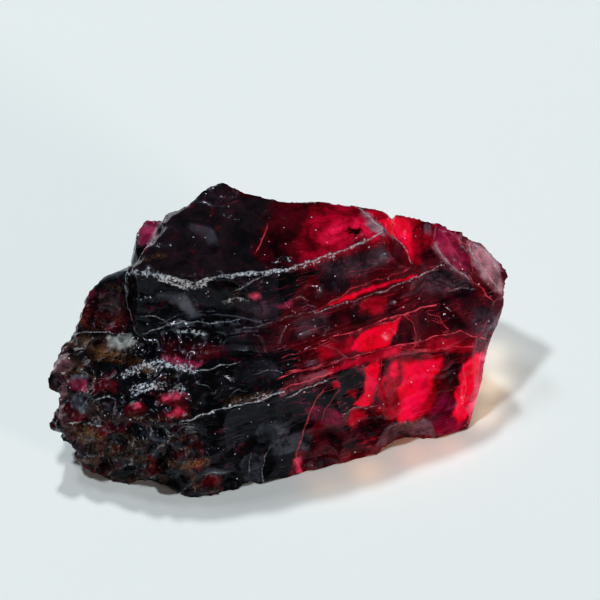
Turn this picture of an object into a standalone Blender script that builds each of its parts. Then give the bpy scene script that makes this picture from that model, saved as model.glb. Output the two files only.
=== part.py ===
"""Rough garnet, 24 mm long: one broken piece of gem rough, lying on its flat underside.

The stone is built as it parted: a thick lower body, two tilted plates, a flat-topped upper block
and a clear right end, each a convex block of flat faces with shell-shaped hollows broken out of
it. They are joined into one solid. Knobs and pits then cover the weathered left end, and small
chips the sharp edges.

The frame has +X along the parting ledges, toward the clear red end, and +Z up. The origin is on
the resting face, under the middle of the stone. Corners and sizes below are in millimetres.
"""

import math
import random

import bmesh
import bpy
from mathutils import Matrix, Vector
from mathutils.bvhtree import BVHTree

MM = 0.001

# Heights of the flat crest and of the parting ledges that step down the front, with the width of
# the step at each ledge.
CREST_Z = 8.2
LEDGE_2_Z = 6.6
LEDGE_3_Z = 6.45
LEDGE_4_Z = 5.4
LEDGE_5_Z = 4.4
LEDGE_6_Z = 3.9
TREAD = 0.16

# The foot's corners start below the ground, which then cuts the flat resting face.
FOOT_Z = -0.3

# Every upper block reaches down to these inner corners, so that no slit is left below it. The
# blocks are joined from a small cube deep in the stone, and the ground is a slab under it.
ROOTS = [(-5.0, 1.5, 2.5), (5.0, 0.0, 2.5)]
HEART = (0.0, 0.0, 2.5)
GROUND_WIDTH = 40.0
GROUND_DEPTH = 5.0

# Knobs and pits on the weathered left end: how many, the least distance between neighbours, their
# radii, and how much of the radius a knob is sunk by and a pit is raised by.
SEED = 12
KNOBS = 40
KNOB_GAP = 1.05
KNOB_RADII = (0.65, 1.15)
KNOB_SUNK = 0.74
PITS = 18
PIT_GAP = 1.3
PIT_RADII = (0.4, 0.8)
PIT_RAISED = 0.5
END_MOST_X = -5.2
END_FADE_X = 1.0
END_TOP_Z = 4.6

# Lines out of the middle of the left end find the places of its knobs and pits. They turn sideways
# from 0 at the front to 90 at the right, and rise from level, within these angles. The place is
# where such a line, followed back from far outside, meets the stone.
MIDDLE_X = (-9.4, -5.6)
MIDDLE_Y = (-2.4, 1.2)
MIDDLE_Z = 1.6
SIDEWAYS = (-135.0, 20.0)
UPWARD = (-8.0, 85.0)
FAR_OUTSIDE = 20.0

# Chips along an edge: their sizes and depths as shares of the named ones, the directions that they
# break in from, and the depth in the stone behind which they break in from the back.
CHIP_SIZES = (0.5, 1.6)
CHIP_DEPTHS = (0.4, 1.5)
CHIP_SIDEWAYS = (-0.3, 0.3)
CHIP_FORWARD = (-1.0, -0.2)
CHIP_UPWARD = (0.2, 1.0)
CHIP_STRETCH = (1.0, 1.5)
BACK_Y = 2.0

# A small ball's corners are moved in and out by up to this share of its radius. It is turned by up
# to this many degrees, and drawn out along one axis by the stretch of its kind.
UNEVENNESS = 0.04
LARGEST_TURN = 35.0
KNOB_STRETCH = 1.25
PIT_STRETCH = 1.2

# Balls above the first radius, and shells above the second, have four times the faces.
COARSE_RADIUS = 0.6
FINE_RADIUS = 3.5

COLOUR = (0.20, 0.004, 0.012, 1.0)
ROUGHNESS = 0.12
METALLIC = 0.0


def new_collection(name):
    collection = bpy.data.collections.new(name)
    bpy.context.scene.collection.children.link(collection)
    return collection


def new_object(name, solid, collection):
    """Turns a bmesh in millimetres into an object in metres."""
    bmesh.ops.scale(solid, vec=(MM, MM, MM), verts=solid.verts)
    bmesh.ops.recalc_face_normals(solid, faces=solid.faces)
    mesh = bpy.data.meshes.new(name)
    solid.to_mesh(mesh)
    solid.free()
    made = bpy.data.objects.new(name, mesh)
    collection.objects.link(made)
    return made


def as_helper(made):
    made.hide_render = True
    made.display_type = "WIRE"


def add_boolean(made, name, operation, others):
    modifier = made.modifiers.new(name, "BOOLEAN")
    modifier.operation = operation
    modifier.operand_type = "COLLECTION"
    modifier.collection = others
    modifier.solver = "EXACT"


def slope_frame(facing, slope):
    """Axes on a face: along its level line, up the slope, and straight out of it."""
    turn = math.radians(facing)
    lean = math.radians(slope)
    out = Vector((math.sin(turn) * math.sin(lean), -math.cos(turn) * math.sin(lean), math.cos(lean)))
    level = Vector((math.cos(turn), math.sin(turn), 0.0))
    return Matrix((level, out.cross(level), out)).transposed()


def shell(name, at, facing, slope, radius, depth, along, up, roll, collection):
    """A stretched ball that breaks a shell-shaped hollow out of the face at that place.

    The face looks toward the facing angle, 0 to the front and 90 to the right, and leans back from
    level by the slope. The ball is stretched along the face's level line and up its slope, and
    both are turned on the face by the roll.
    """
    solid = bmesh.new()
    bmesh.ops.create_icosphere(solid, subdivisions=4 if radius > FINE_RADIUS else 3, radius=radius)
    axes = slope_frame(facing, slope) @ Matrix.Rotation(math.radians(roll), 3, "Z")
    centre = Vector(at) + axes.col[2] * (radius - depth)
    stretch = Matrix.Diagonal((along, up, 1.0))
    place = Matrix.Translation(centre) @ (axes @ stretch).to_4x4()
    bmesh.ops.transform(solid, matrix=place, verts=solid.verts)
    as_helper(new_object(name, solid, collection))


def block(name, corners, shells, blocks):
    """A convex block whose flat faces run between its corners, with its shells broken out of it."""
    solid = bmesh.new()
    for corner in corners:
        solid.verts.new(corner)
    made = bmesh.ops.convex_hull(solid, input=solid.verts)
    inner = [item for item in made["geom_interior"] if isinstance(item, bmesh.types.BMVert)]
    bmesh.ops.delete(solid, geom=inner, context="VERTS")
    whole = new_object(name, solid, blocks)
    as_helper(whole)
    hollows = new_collection(f"{name}_shells")
    for number, (at, facing, slope, radius, depth, along, up, roll) in enumerate(shells):
        shell(f"{name}_shell_{number}", at, facing, slope, radius, depth, along, up, roll, hollows)
    if shells:
        add_boolean(whole, "shells", "DIFFERENCE", hollows)


def lower_body(blocks):
    """The thick lower half: a steep front under ledges 5 and 6, and an end that undercuts."""
    ledge = [
        (-7.9, -3.3, LEDGE_6_Z - 0.4),
        (-5.2, -4.3, LEDGE_6_Z - 0.1),
        (-2.5, -4.7, LEDGE_6_Z + 0.1),
        (2.6, -4.6, LEDGE_5_Z + 0.1),
        (4.6, -4.4, LEDGE_5_Z),
        (7.1, -4.5, LEDGE_5_Z - 0.2),
        (9.5, -4.5, LEDGE_5_Z - 0.6),
    ]
    right_end = [(10.4, -3.9, 3.2), (11.1, -3.2, 4.0), (11.7, -1.9, 4.6), (10.6, 0.2, 4.4)]
    back = [(6.0, 3.9, 4.2), (0.0, 6.4, 3.8), (-4.5, 6.8, 3.6), (-8.0, 4.8, 3.4)]
    left_end = [(-10.0, 2.3, 3.7), (-11.2, 0.9, 3.1), (-11.8, -0.6, 2.5), (-11.0, -2.3, 1.3)]
    foot = [
        (-10.1, -2.9, FOOT_Z),
        (-9.3, -3.8, FOOT_Z),
        (-7.8, -4.6, FOOT_Z),
        (-6.1, -6.3, FOOT_Z),
        (-2.8, -6.45, FOOT_Z),
        (0.9, -6.75, FOOT_Z),
        (3.2, -6.6, FOOT_Z),
        (6.4, -7.1, FOOT_Z),
        (7.5, -7.1, FOOT_Z),
        (8.8, -4.8, FOOT_Z),
        (8.0, -1.0, FOOT_Z),
        (5.2, 3.0, FOOT_Z),
        (-0.8, 5.8, FOOT_Z),
        (-6.3, 5.4, FOOT_Z),
        (-10.0, 1.6, FOOT_Z),
    ]
    shells = [
        ((-8.2, -4.0, 2.3), -38, 62, 3.6, 0.35, 1.3, 1.2, -15),
        ((-6.0, -4.9, 2.8), -20, 62, 3.6, 0.36, 1.2, 1.0, 12),
        ((-5.6, -6.0, 0.8), -12, 62, 2.2, 0.32, 1.5, 0.9, -10),
        ((-3.1, -5.45, 2.3), -8, 66, 4.0, 0.40, 0.8, 1.5, 14),
        ((-0.3, -5.55, 2.5), 0, 66, 4.6, 0.40, 0.85, 1.5, 20),
        ((2.4, -5.5, 2.7), 4, 64, 4.0, 0.32, 0.75, 1.6, 8),
        ((5.3, -5.65, 2.5), 4, 60, 5.0, 0.38, 0.9, 1.6, 0),
        ((7.5, -5.7, 2.5), 12, 58, 2.2, 0.26, 0.6, 3.0, -8),
        ((9.0, -5.6, 2.1), 34, 68, 2.8, 0.34, 0.7, 2.4, -12),
        ((4.2, -6.6, 0.3), 2, 66, 1.8, 0.42, 1.2, 0.8, 0),
        ((9.9, -4.6, 2.2), 60, 105, 4.0, 0.35, 1.0, 1.4, 0),
        ((9.9, -1.8, 2.6), 95, 125, 4.0, 0.40, 1.0, 1.2, 0),
        ((7.4, 2.0, 2.4), 135, 110, 4.6, 0.40, 1.1, 1.2, 15),
        ((2.4, 5.0, 2.2), 155, 98, 5.0, 0.45, 1.0, 1.4, 20),
        ((-3.0, 6.3, 2.0), 178, 96, 5.0, 0.50, 0.9, 1.4, -15),
        ((-7.9, 4.4, 1.8), 220, 92, 3.6, 0.45, 1.0, 1.4, 0),
        ((-10.4, 1.4, 1.0), 262, 82, 3.0, 0.20, 1.2, 1.0, 0),
    ]
    block("lower_body", ledge + right_end + back + left_end + foot, shells, blocks)


def lower_plate(blocks):
    """The plate between ledges 4 and 5, tilted back and set a step behind the lower body."""
    top = [
        (-7.0, -1.5, LEDGE_4_Z - 1.1),
        (-4.5, -2.5, LEDGE_4_Z - 0.4),
        (-1.6, -3.15, LEDGE_4_Z - 0.2),
        (1.2, -3.35, LEDGE_4_Z),
        (4.0, -3.25, LEDGE_4_Z),
        (6.9, -3.05, LEDGE_4_Z - 0.2),
        (9.7, -2.45, LEDGE_4_Z - 0.6),
    ]
    bottom = [
        (-7.5, -3.1, LEDGE_6_Z - 0.5),
        (-4.6, -4.3, LEDGE_6_Z - 0.2),
        (-2.5, -4.7 + TREAD, LEDGE_6_Z + 0.1),
        (2.6, -4.6 + TREAD, LEDGE_5_Z + 0.1),
        (4.6, -4.4 + TREAD, LEDGE_5_Z),
        (7.1, -4.5 + TREAD, LEDGE_5_Z - 0.2),
        (9.5, -4.5 + TREAD, LEDGE_5_Z - 0.6),
    ]
    back = [
        (11.2, -2.6, 4.7),
        (10.2, 0.0, 5.0),
        (9.0, 1.5, 4.9),
        (5.5, 3.6, 5.2),
        (-1.0, 6.1, 5.0),
        (-6.6, 5.0, 4.4),
        (9.2, 0.9, 3.8),
        (5.6, 3.8, 3.6),
        (-1.0, 6.3, 3.0),
        (-6.0, 5.4, 2.6),
    ]
    shells = [
        ((-3.4, -3.5, 4.5), -8, 42, 6.0, 0.20, 1.2, 0.8, 8),
        ((0.4, -4.0, 4.7), -2, 46, 5.0, 0.18, 1.3, 0.8, -6),
        ((4.0, -3.9, 4.8), 4, 44, 4.5, 0.16, 1.0, 1.0, 14),
        ((7.2, -3.7, 4.6), 12, 42, 4.0, 0.24, 0.9, 1.0, 20),
        ((8.6, 1.7, 4.9), 145, 70, 3.0, 0.25, 1.4, 1.0, 0),
    ]
    block("lower_plate", top + bottom + back + ROOTS, shells, blocks)


def upper_plate(blocks):
    """The plate between ledges 3 and 4, a thinner sheet that narrows to the right."""
    top = [
        (-5.4, -0.3, LEDGE_3_Z - 1.5),
        (-3.9, -1.1, LEDGE_3_Z - 0.9),
        (-1.4, -2.1, LEDGE_3_Z - 0.4),
        (1.6, -2.4, LEDGE_3_Z),
        (4.4, -2.35, LEDGE_3_Z + 0.1),
        (6.7, -2.25, LEDGE_3_Z),
        (8.9, -1.75, LEDGE_3_Z - 0.3),
    ]
    bottom = [
        (-5.4, -2.0, LEDGE_4_Z - 0.7),
        (-4.5, -2.5 + TREAD, LEDGE_4_Z - 0.4),
        (-1.6, -3.15 + TREAD, LEDGE_4_Z - 0.2),
        (1.2, -3.35 + TREAD, LEDGE_4_Z),
        (4.0, -3.25 + TREAD, LEDGE_4_Z),
        (6.9, -3.05 + TREAD, LEDGE_4_Z - 0.2),
        (9.7, -2.45 + TREAD, LEDGE_4_Z - 0.6),
    ]
    back = [
        (10.8, -1.4, 5.2),
        (6.8, 1.8, 6.6),
        (5.0, 2.9, 6.6),
        (-1.0, 5.7, 6.2),
        (-6.0, 4.4, 5.4),
        (7.8, 2.0, 4.7),
        (5.4, 3.4, 4.6),
        (-1.0, 6.0, 4.4),
        (-6.2, 4.8, 4.0),
    ]
    shells = [
        ((-3.2, -2.2, 5.2), -20, 46, 5.0, 0.22, 1.1, 1.0, 10),
        ((0.4, -2.8, 5.8), -4, 46, 5.0, 0.15, 1.3, 0.8, 6),
        ((4.6, -2.8, 5.9), 3, 48, 4.5, 0.16, 1.4, 0.8, -6),
        ((8.0, -2.3, 5.7), 10, 48, 3.0, 0.18, 1.2, 1.0, 12),
    ]
    block("upper_plate", top + bottom + back + ROOTS, shells, blocks)


def upper_block(blocks):
    """The flat crest, the dark glassy face under its ridge, and the lump on its back corner."""
    ridge = [
        (-6.3, 2.6, CREST_Z - 0.6),
        (-4.1, 1.0, CREST_Z - 0.35),
        (-2.0, 0.1, CREST_Z - 0.2),
        (0.5, -0.8, CREST_Z - 0.05),
        (2.3, -0.7, CREST_Z),
        (5.6, -0.4, CREST_Z),
        (6.8, -0.1, CREST_Z - 0.2),
    ]
    crest_back = [
        (6.5, 1.25, CREST_Z - 0.1),
        (5.1, 2.15, CREST_Z + 0.05),
        (3.4, 2.9, CREST_Z + 0.2),
        (1.7, 3.6, CREST_Z + 0.25),
        (-0.5, 5.1, CREST_Z + 0.2),
        (-1.4, 5.6, CREST_Z),
        (-3.2, 5.4, CREST_Z - 0.3),
        (-4.7, 4.0, CREST_Z - 0.5),
    ]
    foot = [
        (-6.6, 1.0, 4.1),
        (-5.5, 0.6, 4.6),
        (-2.3, -1.1, LEDGE_2_Z - 0.6),
        (-0.3, -1.9, LEDGE_2_Z - 0.3),
        (1.7, -2.2, LEDGE_2_Z),
        (4.6, -1.9, LEDGE_2_Z + 0.1),
        (7.4, -1.7, LEDGE_2_Z),
        (7.8, 0.6, 6.4),
        (5.6, 2.8, 6.0),
        (0.5, 5.4, 5.6),
        (-4.0, 5.9, 5.0),
        (-6.4, 4.0, 4.4),
    ]
    shells = [
        ((-3.8, 0.0, 6.1), -30, 62, 4.0, 0.60, 1.5, 1.0, 6),
        ((-6.4, 2.3, 6.2), -95, 82, 2.6, 0.28, 1.0, 1.4, 0),
        ((0.9, -1.4, 7.4), 4, 52, 5.0, 0.26, 1.1, 1.0, 12),
        ((4.6, -1.2, 7.5), 4, 48, 4.5, 0.28, 1.2, 1.0, 16),
        ((-3.6, 2.9, 7.95), -60, 6, 9.0, 0.16, 1.2, 1.0, 0),
        ((3.7, 1.3, 8.35), 3, 5, 11.0, 0.12, 1.2, 0.8, 0),
        ((-2.0, 5.6, 6.6), 176, 78, 4.5, 0.34, 0.9, 1.0, 10),
        ((2.6, 3.9, 7.2), 152, 66, 4.5, 0.30, 1.1, 1.0, -10),
    ]
    block("upper_block", ridge + crest_back + foot + ROOTS, shells, blocks)
    peak = [
        (-2.5, 5.2, 7.9),
        (-1.3, 5.5, 8.6),
        (-0.5, 5.35, 8.95),
        (0.1, 4.9, 8.7),
        (1.1, 4.1, 8.55),
        (-0.5, 4.2, 8.4),
        (-1.8, 4.6, 8.1),
        (-2.2, 5.8, 6.6),
        (0.9, 4.9, 6.6),
    ]
    peak_shells = [
        ((-1.7, 4.9, 8.3), -60, 25, 1.6, 0.16, 1.0, 1.0, 0),
        ((0.2, 4.4, 8.6), 30, 20, 1.6, 0.14, 1.0, 1.0, 0),
    ]
    block("crest_peak", peak, peak_shells, blocks)


def right_block(blocks):
    """The clear red end beyond the channel, with its sloping top and end face."""
    top = [
        (7.2, 1.3, 7.6),
        (7.9, 1.2, 7.5),
        (8.8, 0.75, 7.3),
        (9.8, -0.1, 6.95),
        (11.2, -1.2, 6.0),
        (11.7, -1.9, 5.3),
        (11.7, -2.4, 4.9),
        (11.1, -3.1, 4.3),
    ]
    front = [(9.6, -2.4, 5.7), (8.9, -1.75, 6.3), (7.4, -1.9, 6.5), (6.4, -1.0, 6.8), (9.9, -3.0, 4.6)]
    back = [(9.8, 0.9, 4.2), (6.4, 2.6, 4.6)]
    shells = [
        ((9.3, -1.2, 6.6), 20, 34, 2.6, 0.26, 0.8, 1.2, 10),
        ((10.7, -1.7, 5.9), 45, 42, 3.6, 0.22, 1.0, 1.0, 0),
        ((9.4, 0.8, 6.0), 140, 62, 3.0, 0.30, 1.2, 1.0, 0),
    ]
    block("right_block", top + front + back + ROOTS[1:], shells, blocks)


def rear_left_lobe(blocks):
    """The purple-brown shoulder behind the left end, and the thin pink spur above it."""
    shoulder = [
        (-9.2, 2.8, 3.9),
        (-8.5, 3.7, 4.5),
        (-7.8, 4.3, 5.1),
        (-6.9, 4.6, 5.5),
        (-5.8, 4.3, 5.8),
        (-5.0, 4.6, 5.8),
        (-9.4, 2.6, 3.2),
        (-8.0, 2.2, 3.3),
        (-6.4, 1.9, 3.4),
        (-5.4, 2.0, 4.0),
        (-8.2, 4.7, 3.0),
        (-4.0, 6.4, 3.0),
    ]
    shoulder_shells = [
        ((-7.7, 3.3, 4.5), -15, 45, 4.0, 0.22, 1.0, 0.8, 20),
        ((-7.6, 4.8, 4.0), 200, 75, 3.0, 0.30, 1.2, 1.0, 0),
    ]
    block("rear_left_shoulder", shoulder, shoulder_shells, blocks)
    spur = [
        (-5.0, 5.3, 6.1),
        (-4.7, 6.0, 6.3),
        (-4.0, 6.5, 6.5),
        (-3.3, 6.1, 6.6),
        (-1.8, 5.9, 2.8),
        (-5.6, 5.6, 2.8),
        (-5.0, 4.4, 4.6),
        (-2.4, 4.8, 6.4),
    ]
    block("pink_spur", spur, [], blocks)


def rough_ball(name, centre, radius, stretch, chance, collection):
    """A small uneven ball: a knob where it is joined on, a chip or a pit where it is cut out."""
    solid = bmesh.new()
    bmesh.ops.create_icosphere(solid, subdivisions=2 if radius > COARSE_RADIUS else 1, radius=radius)
    for corner in solid.verts:
        corner.co *= 1.0 + chance.uniform(-UNEVENNESS, UNEVENNESS)
    axis = Vector((chance.uniform(-1, 1), chance.uniform(-1, 1), chance.uniform(-1, 1))).normalized()
    turn = Matrix.Rotation(math.radians(chance.uniform(-LARGEST_TURN, LARGEST_TURN)), 4, axis)
    squash = Matrix.Diagonal((stretch, 1.0, 1.0 / stretch, 1.0))
    place = Matrix.Translation(centre) @ turn @ squash
    bmesh.ops.transform(solid, matrix=place, verts=solid.verts)
    as_helper(new_object(name, solid, collection))


def joined_blocks(name, blocks, collection):
    """One object made of every block, from a small cube deep inside them."""
    solid = bmesh.new()
    bmesh.ops.create_cube(solid, size=1.0)
    bmesh.ops.translate(solid, vec=HEART, verts=solid.verts)
    made = new_object(name, solid, collection)
    add_boolean(made, "joined", "UNION", blocks)
    return made


def surface_of(blocks):
    """The joined blocks' surface, in metres, to find where a line from outside meets it."""
    trial = joined_blocks("trial", blocks, bpy.context.scene.collection)
    surface = BVHTree.FromObject(trial, bpy.context.evaluated_depsgraph_get())
    bpy.data.objects.remove(trial)
    return surface


def spread_over_end(surface, count, gap, chance):
    """Places on the left end, no two closer than the gap, each with the line out of the stone there."""
    places = []
    while len(places) < count:
        sideways = math.radians(chance.uniform(*SIDEWAYS))
        upward = math.radians(chance.uniform(*UPWARD))
        toward = Vector((
            math.sin(sideways) * math.cos(upward),
            -math.cos(sideways) * math.cos(upward),
            math.sin(upward),
        ))
        middle = Vector((chance.uniform(*MIDDLE_X), chance.uniform(*MIDDLE_Y), MIDDLE_Z))
        hit = surface.ray_cast((middle + toward * FAR_OUTSIDE) * MM, -toward)[0] / MM
        if hit.z > END_TOP_Z or hit.x > END_MOST_X + chance.uniform(-END_FADE_X, END_FADE_X):
            continue
        if all((hit - other).length > gap for other, _ in places):
            places.append((hit, toward))
    return places


def weathered_end(blocks, cutters, chance):
    """Knobs and pits all over the lumpy left end, the knobs drawn out along the ledges."""
    surface = surface_of(blocks)
    for number, (hit, toward) in enumerate(spread_over_end(surface, KNOBS, KNOB_GAP, chance)):
        radius = chance.uniform(*KNOB_RADII)
        centre = hit - toward * radius * KNOB_SUNK
        rough_ball(f"knob_{number}", centre, radius, KNOB_STRETCH, chance, blocks)
    for number, (hit, toward) in enumerate(spread_over_end(surface, PITS, PIT_GAP, chance)):
        radius = chance.uniform(*PIT_RADII)
        centre = hit + toward * radius * PIT_RAISED
        rough_ball(f"pit_{number}", centre, radius, PIT_STRETCH, chance, cutters)


def channel(cutters):
    """The bright red groove between the crest and the right end."""
    shell("channel", (7.0, -0.4, 7.3), 62, 30, 1.6, 0.50, 2.0, 1.0, 0, cutters)


def chips_along(name, route, count, radius, depth, chance, cutters):
    """Small bites out of a sharp edge, at uneven steps along its route."""
    points = [Vector(point) for point in route]
    lengths = [(end - start).length for start, end in zip(points, points[1:])]
    for number in range(count):
        travel = (number + chance.random()) / count * sum(lengths)
        leg = 0
        while travel > lengths[leg] and leg < len(lengths) - 1:
            travel -= lengths[leg]
            leg += 1
        on_edge = points[leg].lerp(points[leg + 1], travel / lengths[leg])
        size = radius * chance.uniform(*CHIP_SIZES)
        outward = Vector((
            chance.uniform(*CHIP_SIDEWAYS),
            chance.uniform(*CHIP_FORWARD),
            chance.uniform(*CHIP_UPWARD),
        ))
        if on_edge.y > BACK_Y:
            outward.y = -outward.y
        centre = on_edge + outward.normalized() * (size - depth * chance.uniform(*CHIP_DEPTHS))
        rough_ball(f"{name}_{number}", centre, size, chance.uniform(*CHIP_STRETCH), chance, cutters)


def chipped_edges(cutters, chance):
    """Frosted chips along the crest, the ledges, the end and the foot."""
    ridge = [(-6.3, 2.6, 7.6), (-4.1, 1.0, 7.85), (-2.0, 0.1, 8.0), (0.5, -0.8, 8.15), (5.6, -0.4, 8.2)]
    crest_rear = [(5.8, 1.7, 8.2), (5.1, 2.15, 8.25), (2.0, 3.6, 8.45)]
    crest_left = [(-2.9, 5.4, 7.95), (-3.2, 5.4, 7.9), (-4.7, 4.0, 7.7), (-6.3, 2.6, 7.6)]
    ledge_3 = [(-3.9, -1.1, 5.5), (-1.4, -2.1, 6.0), (1.6, -2.4, 6.4), (6.7, -2.2, 6.4), (8.9, -1.7, 6.1)]
    ledge_4 = [(-4.5, -2.5, 5.0), (-1.6, -3.15, 5.2), (1.2, -3.35, 5.4), (6.9, -3.05, 5.2), (9.7, -2.45, 4.8)]
    ledge_5 = [(-5.2, -4.3, 3.8), (-2.5, -4.7, 4.0), (2.6, -4.6, 4.5), (7.1, -4.5, 4.2), (9.5, -4.5, 3.8)]
    foot = [(-10.0, -3.0, 0.0), (-6.0, -6.2, 0.0), (0.9, -6.6, 0.0), (6.4, -7.0, 0.0), (7.5, -7.0, 0.0)]
    tip = [(8.7, 0.6, 7.25), (11.2, -1.2, 6.0), (11.7, -2.4, 4.9), (11.1, -3.1, 4.3), (7.6, -7.0, 0.2)]
    chips_along("ridge_chip", ridge, 14, 0.55, 0.11, chance, cutters)
    chips_along("rear_chip", crest_rear, 5, 0.60, 0.12, chance, cutters)
    chips_along("left_chip", crest_left, 6, 0.60, 0.14, chance, cutters)
    chips_along("ledge_3_chip", ledge_3, 8, 0.50, 0.08, chance, cutters)
    chips_along("ledge_4_chip", ledge_4, 8, 0.50, 0.08, chance, cutters)
    chips_along("ledge_5_chip", ledge_5, 10, 0.50, 0.10, chance, cutters)
    chips_along("foot_chip", foot, 10, 0.70, 0.16, chance, cutters)
    chips_along("tip_chip", tip, 9, 0.60, 0.12, chance, cutters)


def ground(cutters):
    """Everything below the resting face is cut away."""
    solid = bmesh.new()
    bmesh.ops.create_cube(solid, size=1.0)
    bmesh.ops.scale(solid, vec=(GROUND_WIDTH, GROUND_WIDTH, GROUND_DEPTH), verts=solid.verts)
    bmesh.ops.translate(solid, vec=(0.0, 0.0, -GROUND_DEPTH / 2), verts=solid.verts)
    as_helper(new_object("ground", solid, cutters))


def garnet_material():
    material = bpy.data.materials.new("garnet_crystal")
    material.use_nodes = True
    shader = material.node_tree.nodes["Principled BSDF"]
    shader.inputs["Base Color"].default_value = COLOUR
    shader.inputs["Roughness"].default_value = ROUGHNESS
    shader.inputs["Metallic"].default_value = METALLIC
    return material


def centre_over_origin(made):
    """Moves the stone and its helpers so that the origin is under the middle of its box."""
    graph = bpy.context.evaluated_depsgraph_get()
    corners = [made.matrix_world @ Vector(corner) for corner in made.evaluated_get(graph).bound_box]
    middle = (Vector(map(min, zip(*corners))) + Vector(map(max, zip(*corners)))) / 2
    for each in bpy.data.objects:
        each.location -= Vector((middle.x, middle.y, 0.0))


def main():
    for old in list(bpy.data.objects):
        bpy.data.objects.remove(old)
    chance = random.Random(SEED)
    part = new_collection("rough_garnet")
    blocks = new_collection("garnet_blocks")
    cutters = new_collection("garnet_cutters")
    lower_body(blocks)
    lower_plate(blocks)
    upper_plate(blocks)
    upper_block(blocks)
    right_block(blocks)
    rear_left_lobe(blocks)
    weathered_end(blocks, cutters, chance)
    channel(cutters)
    chipped_edges(cutters, chance)
    ground(cutters)
    garnet = joined_blocks("garnet", blocks, part)
    garnet.data.materials.append(garnet_material())
    add_boolean(garnet, "carved", "DIFFERENCE", cutters)
    centre_over_origin(garnet)


main()
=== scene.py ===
"""Looks of a rough garnet, 24 mm long: a broken chunk of dark red gem rough lying on pale paper.

The file follows the stone as it formed: the broken lump, the fracture faces that parting left down
its front, the frosted chips along its edges, the weathered left end, and the crystal itself with its
clear and its nearly black parts. The paper, the light and the last checks come after it.
Shapes are worked out in millimetres, and turned to metres once, when the stone's mesh is finished.
"""

import math

import bmesh
import bpy
import numpy as np
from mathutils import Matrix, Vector, noise


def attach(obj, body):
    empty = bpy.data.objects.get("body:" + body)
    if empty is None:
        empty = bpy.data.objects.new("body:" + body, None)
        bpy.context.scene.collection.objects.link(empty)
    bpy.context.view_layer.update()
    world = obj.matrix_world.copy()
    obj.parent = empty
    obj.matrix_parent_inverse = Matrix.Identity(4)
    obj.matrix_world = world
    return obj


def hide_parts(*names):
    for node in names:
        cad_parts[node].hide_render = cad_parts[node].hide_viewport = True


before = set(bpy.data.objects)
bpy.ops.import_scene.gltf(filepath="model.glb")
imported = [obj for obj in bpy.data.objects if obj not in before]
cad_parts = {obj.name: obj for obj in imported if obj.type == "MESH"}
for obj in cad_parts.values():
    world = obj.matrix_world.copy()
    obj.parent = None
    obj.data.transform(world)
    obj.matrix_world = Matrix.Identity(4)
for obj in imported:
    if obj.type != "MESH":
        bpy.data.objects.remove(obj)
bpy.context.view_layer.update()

# The place of the camera. The stone lies on paper below a long lens, which looks down at it from a
# little left of its front. It comes first because marks on the stone are placed by where they show
# in the photograph, whose pixels are each a twentieth of a millimetre on the stone.
LOOK_AZIMUTH = math.radians(-22.0)
LOOK_ELEVATION = math.radians(48.0)
MM = 0.001
MM_PER_PIXEL = 0.05
PHOTO_SIDE = 600
LENS_DISTANCE = 250.0
SENSOR_WIDTH = 36.0
ANCHOR_PIXEL = (280.0, 340.0)
ANCHOR = Vector((1.42, 2.20, 0.0))
CLIP_NEAR = 0.01
CLIP_FAR = 5.0

to_lens = Vector((
    math.sin(LOOK_AZIMUTH) * math.cos(LOOK_ELEVATION),
    -math.cos(LOOK_AZIMUTH) * math.cos(LOOK_ELEVATION),
    math.sin(LOOK_ELEVATION),
))
photo_right = Vector((math.cos(LOOK_AZIMUTH), math.sin(LOOK_AZIMUTH), 0.0))
photo_up = to_lens.cross(photo_right)
photo_centre = (
    ANCHOR
    + photo_right * (PHOTO_SIDE / 2 - ANCHOR_PIXEL[0]) * MM_PER_PIXEL
    + photo_up * (ANCHOR_PIXEL[1] - PHOTO_SIDE / 2) * MM_PER_PIXEL
)

camera = bpy.data.objects.new("camera", bpy.data.cameras.new("camera"))
bpy.context.scene.collection.objects.link(camera)
camera.location = (photo_centre + to_lens * LENS_DISTANCE) * MM
camera.rotation_euler = (-to_lens).to_track_quat("-Z", "Y").to_euler()
camera.data.sensor_width = SENSOR_WIDTH
camera.data.lens = SENSOR_WIDTH * LENS_DISTANCE / (PHOTO_SIDE * MM_PER_PIXEL)
camera.data.clip_start = CLIP_NEAR
camera.data.clip_end = CLIP_FAR
bpy.context.scene.camera = camera

# The broken lump. Garnet is a silicate that grows as one hard crystal with no cleavage, so it breaks
# like glass, into curved faces with sharp edges between them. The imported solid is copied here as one
# fine even mesh that can take the smaller forms.
CELL = 0.104
SAME_PLACE = 1e-6

lump = bmesh.new()
lump.from_mesh(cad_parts["garnet"].data)
bmesh.ops.remove_doubles(lump, verts=lump.verts, dist=SAME_PLACE)
bmesh.ops.scale(lump, vec=(1 / MM, 1 / MM, 1 / MM), verts=lump.verts)
lump_mesh = bpy.data.meshes.new("lump")
lump.to_mesh(lump_mesh)
lump.free()
lump_object = bpy.data.objects.new("lump", lump_mesh)
bpy.context.scene.collection.objects.link(lump_object)
even = lump_object.modifiers.new("even_mesh", "REMESH")
even.mode = "VOXEL"
even.voxel_size = CELL
even_lump = lump_object.evaluated_get(bpy.context.evaluated_depsgraph_get())
stone_mesh = bpy.data.meshes.new_from_object(even_lump)
stone_mesh.name = "garnet_stone"
bpy.data.objects.remove(lump_object)

rows = np.empty(len(stone_mesh.vertices) * 3)
stone_mesh.vertices.foreach_get("co", rows)
points = rows.reshape(-1, 3).copy()
stone_mesh.vertices.foreach_get("normal", rows)
outward = rows.reshape(-1, 3).copy()
edge_ends = np.empty(len(stone_mesh.edges) * 2, dtype=np.int32)
stone_mesh.edges.foreach_get("vertices", edge_ends)
edge_ends = edge_ends.reshape(-1, 2)


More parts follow.
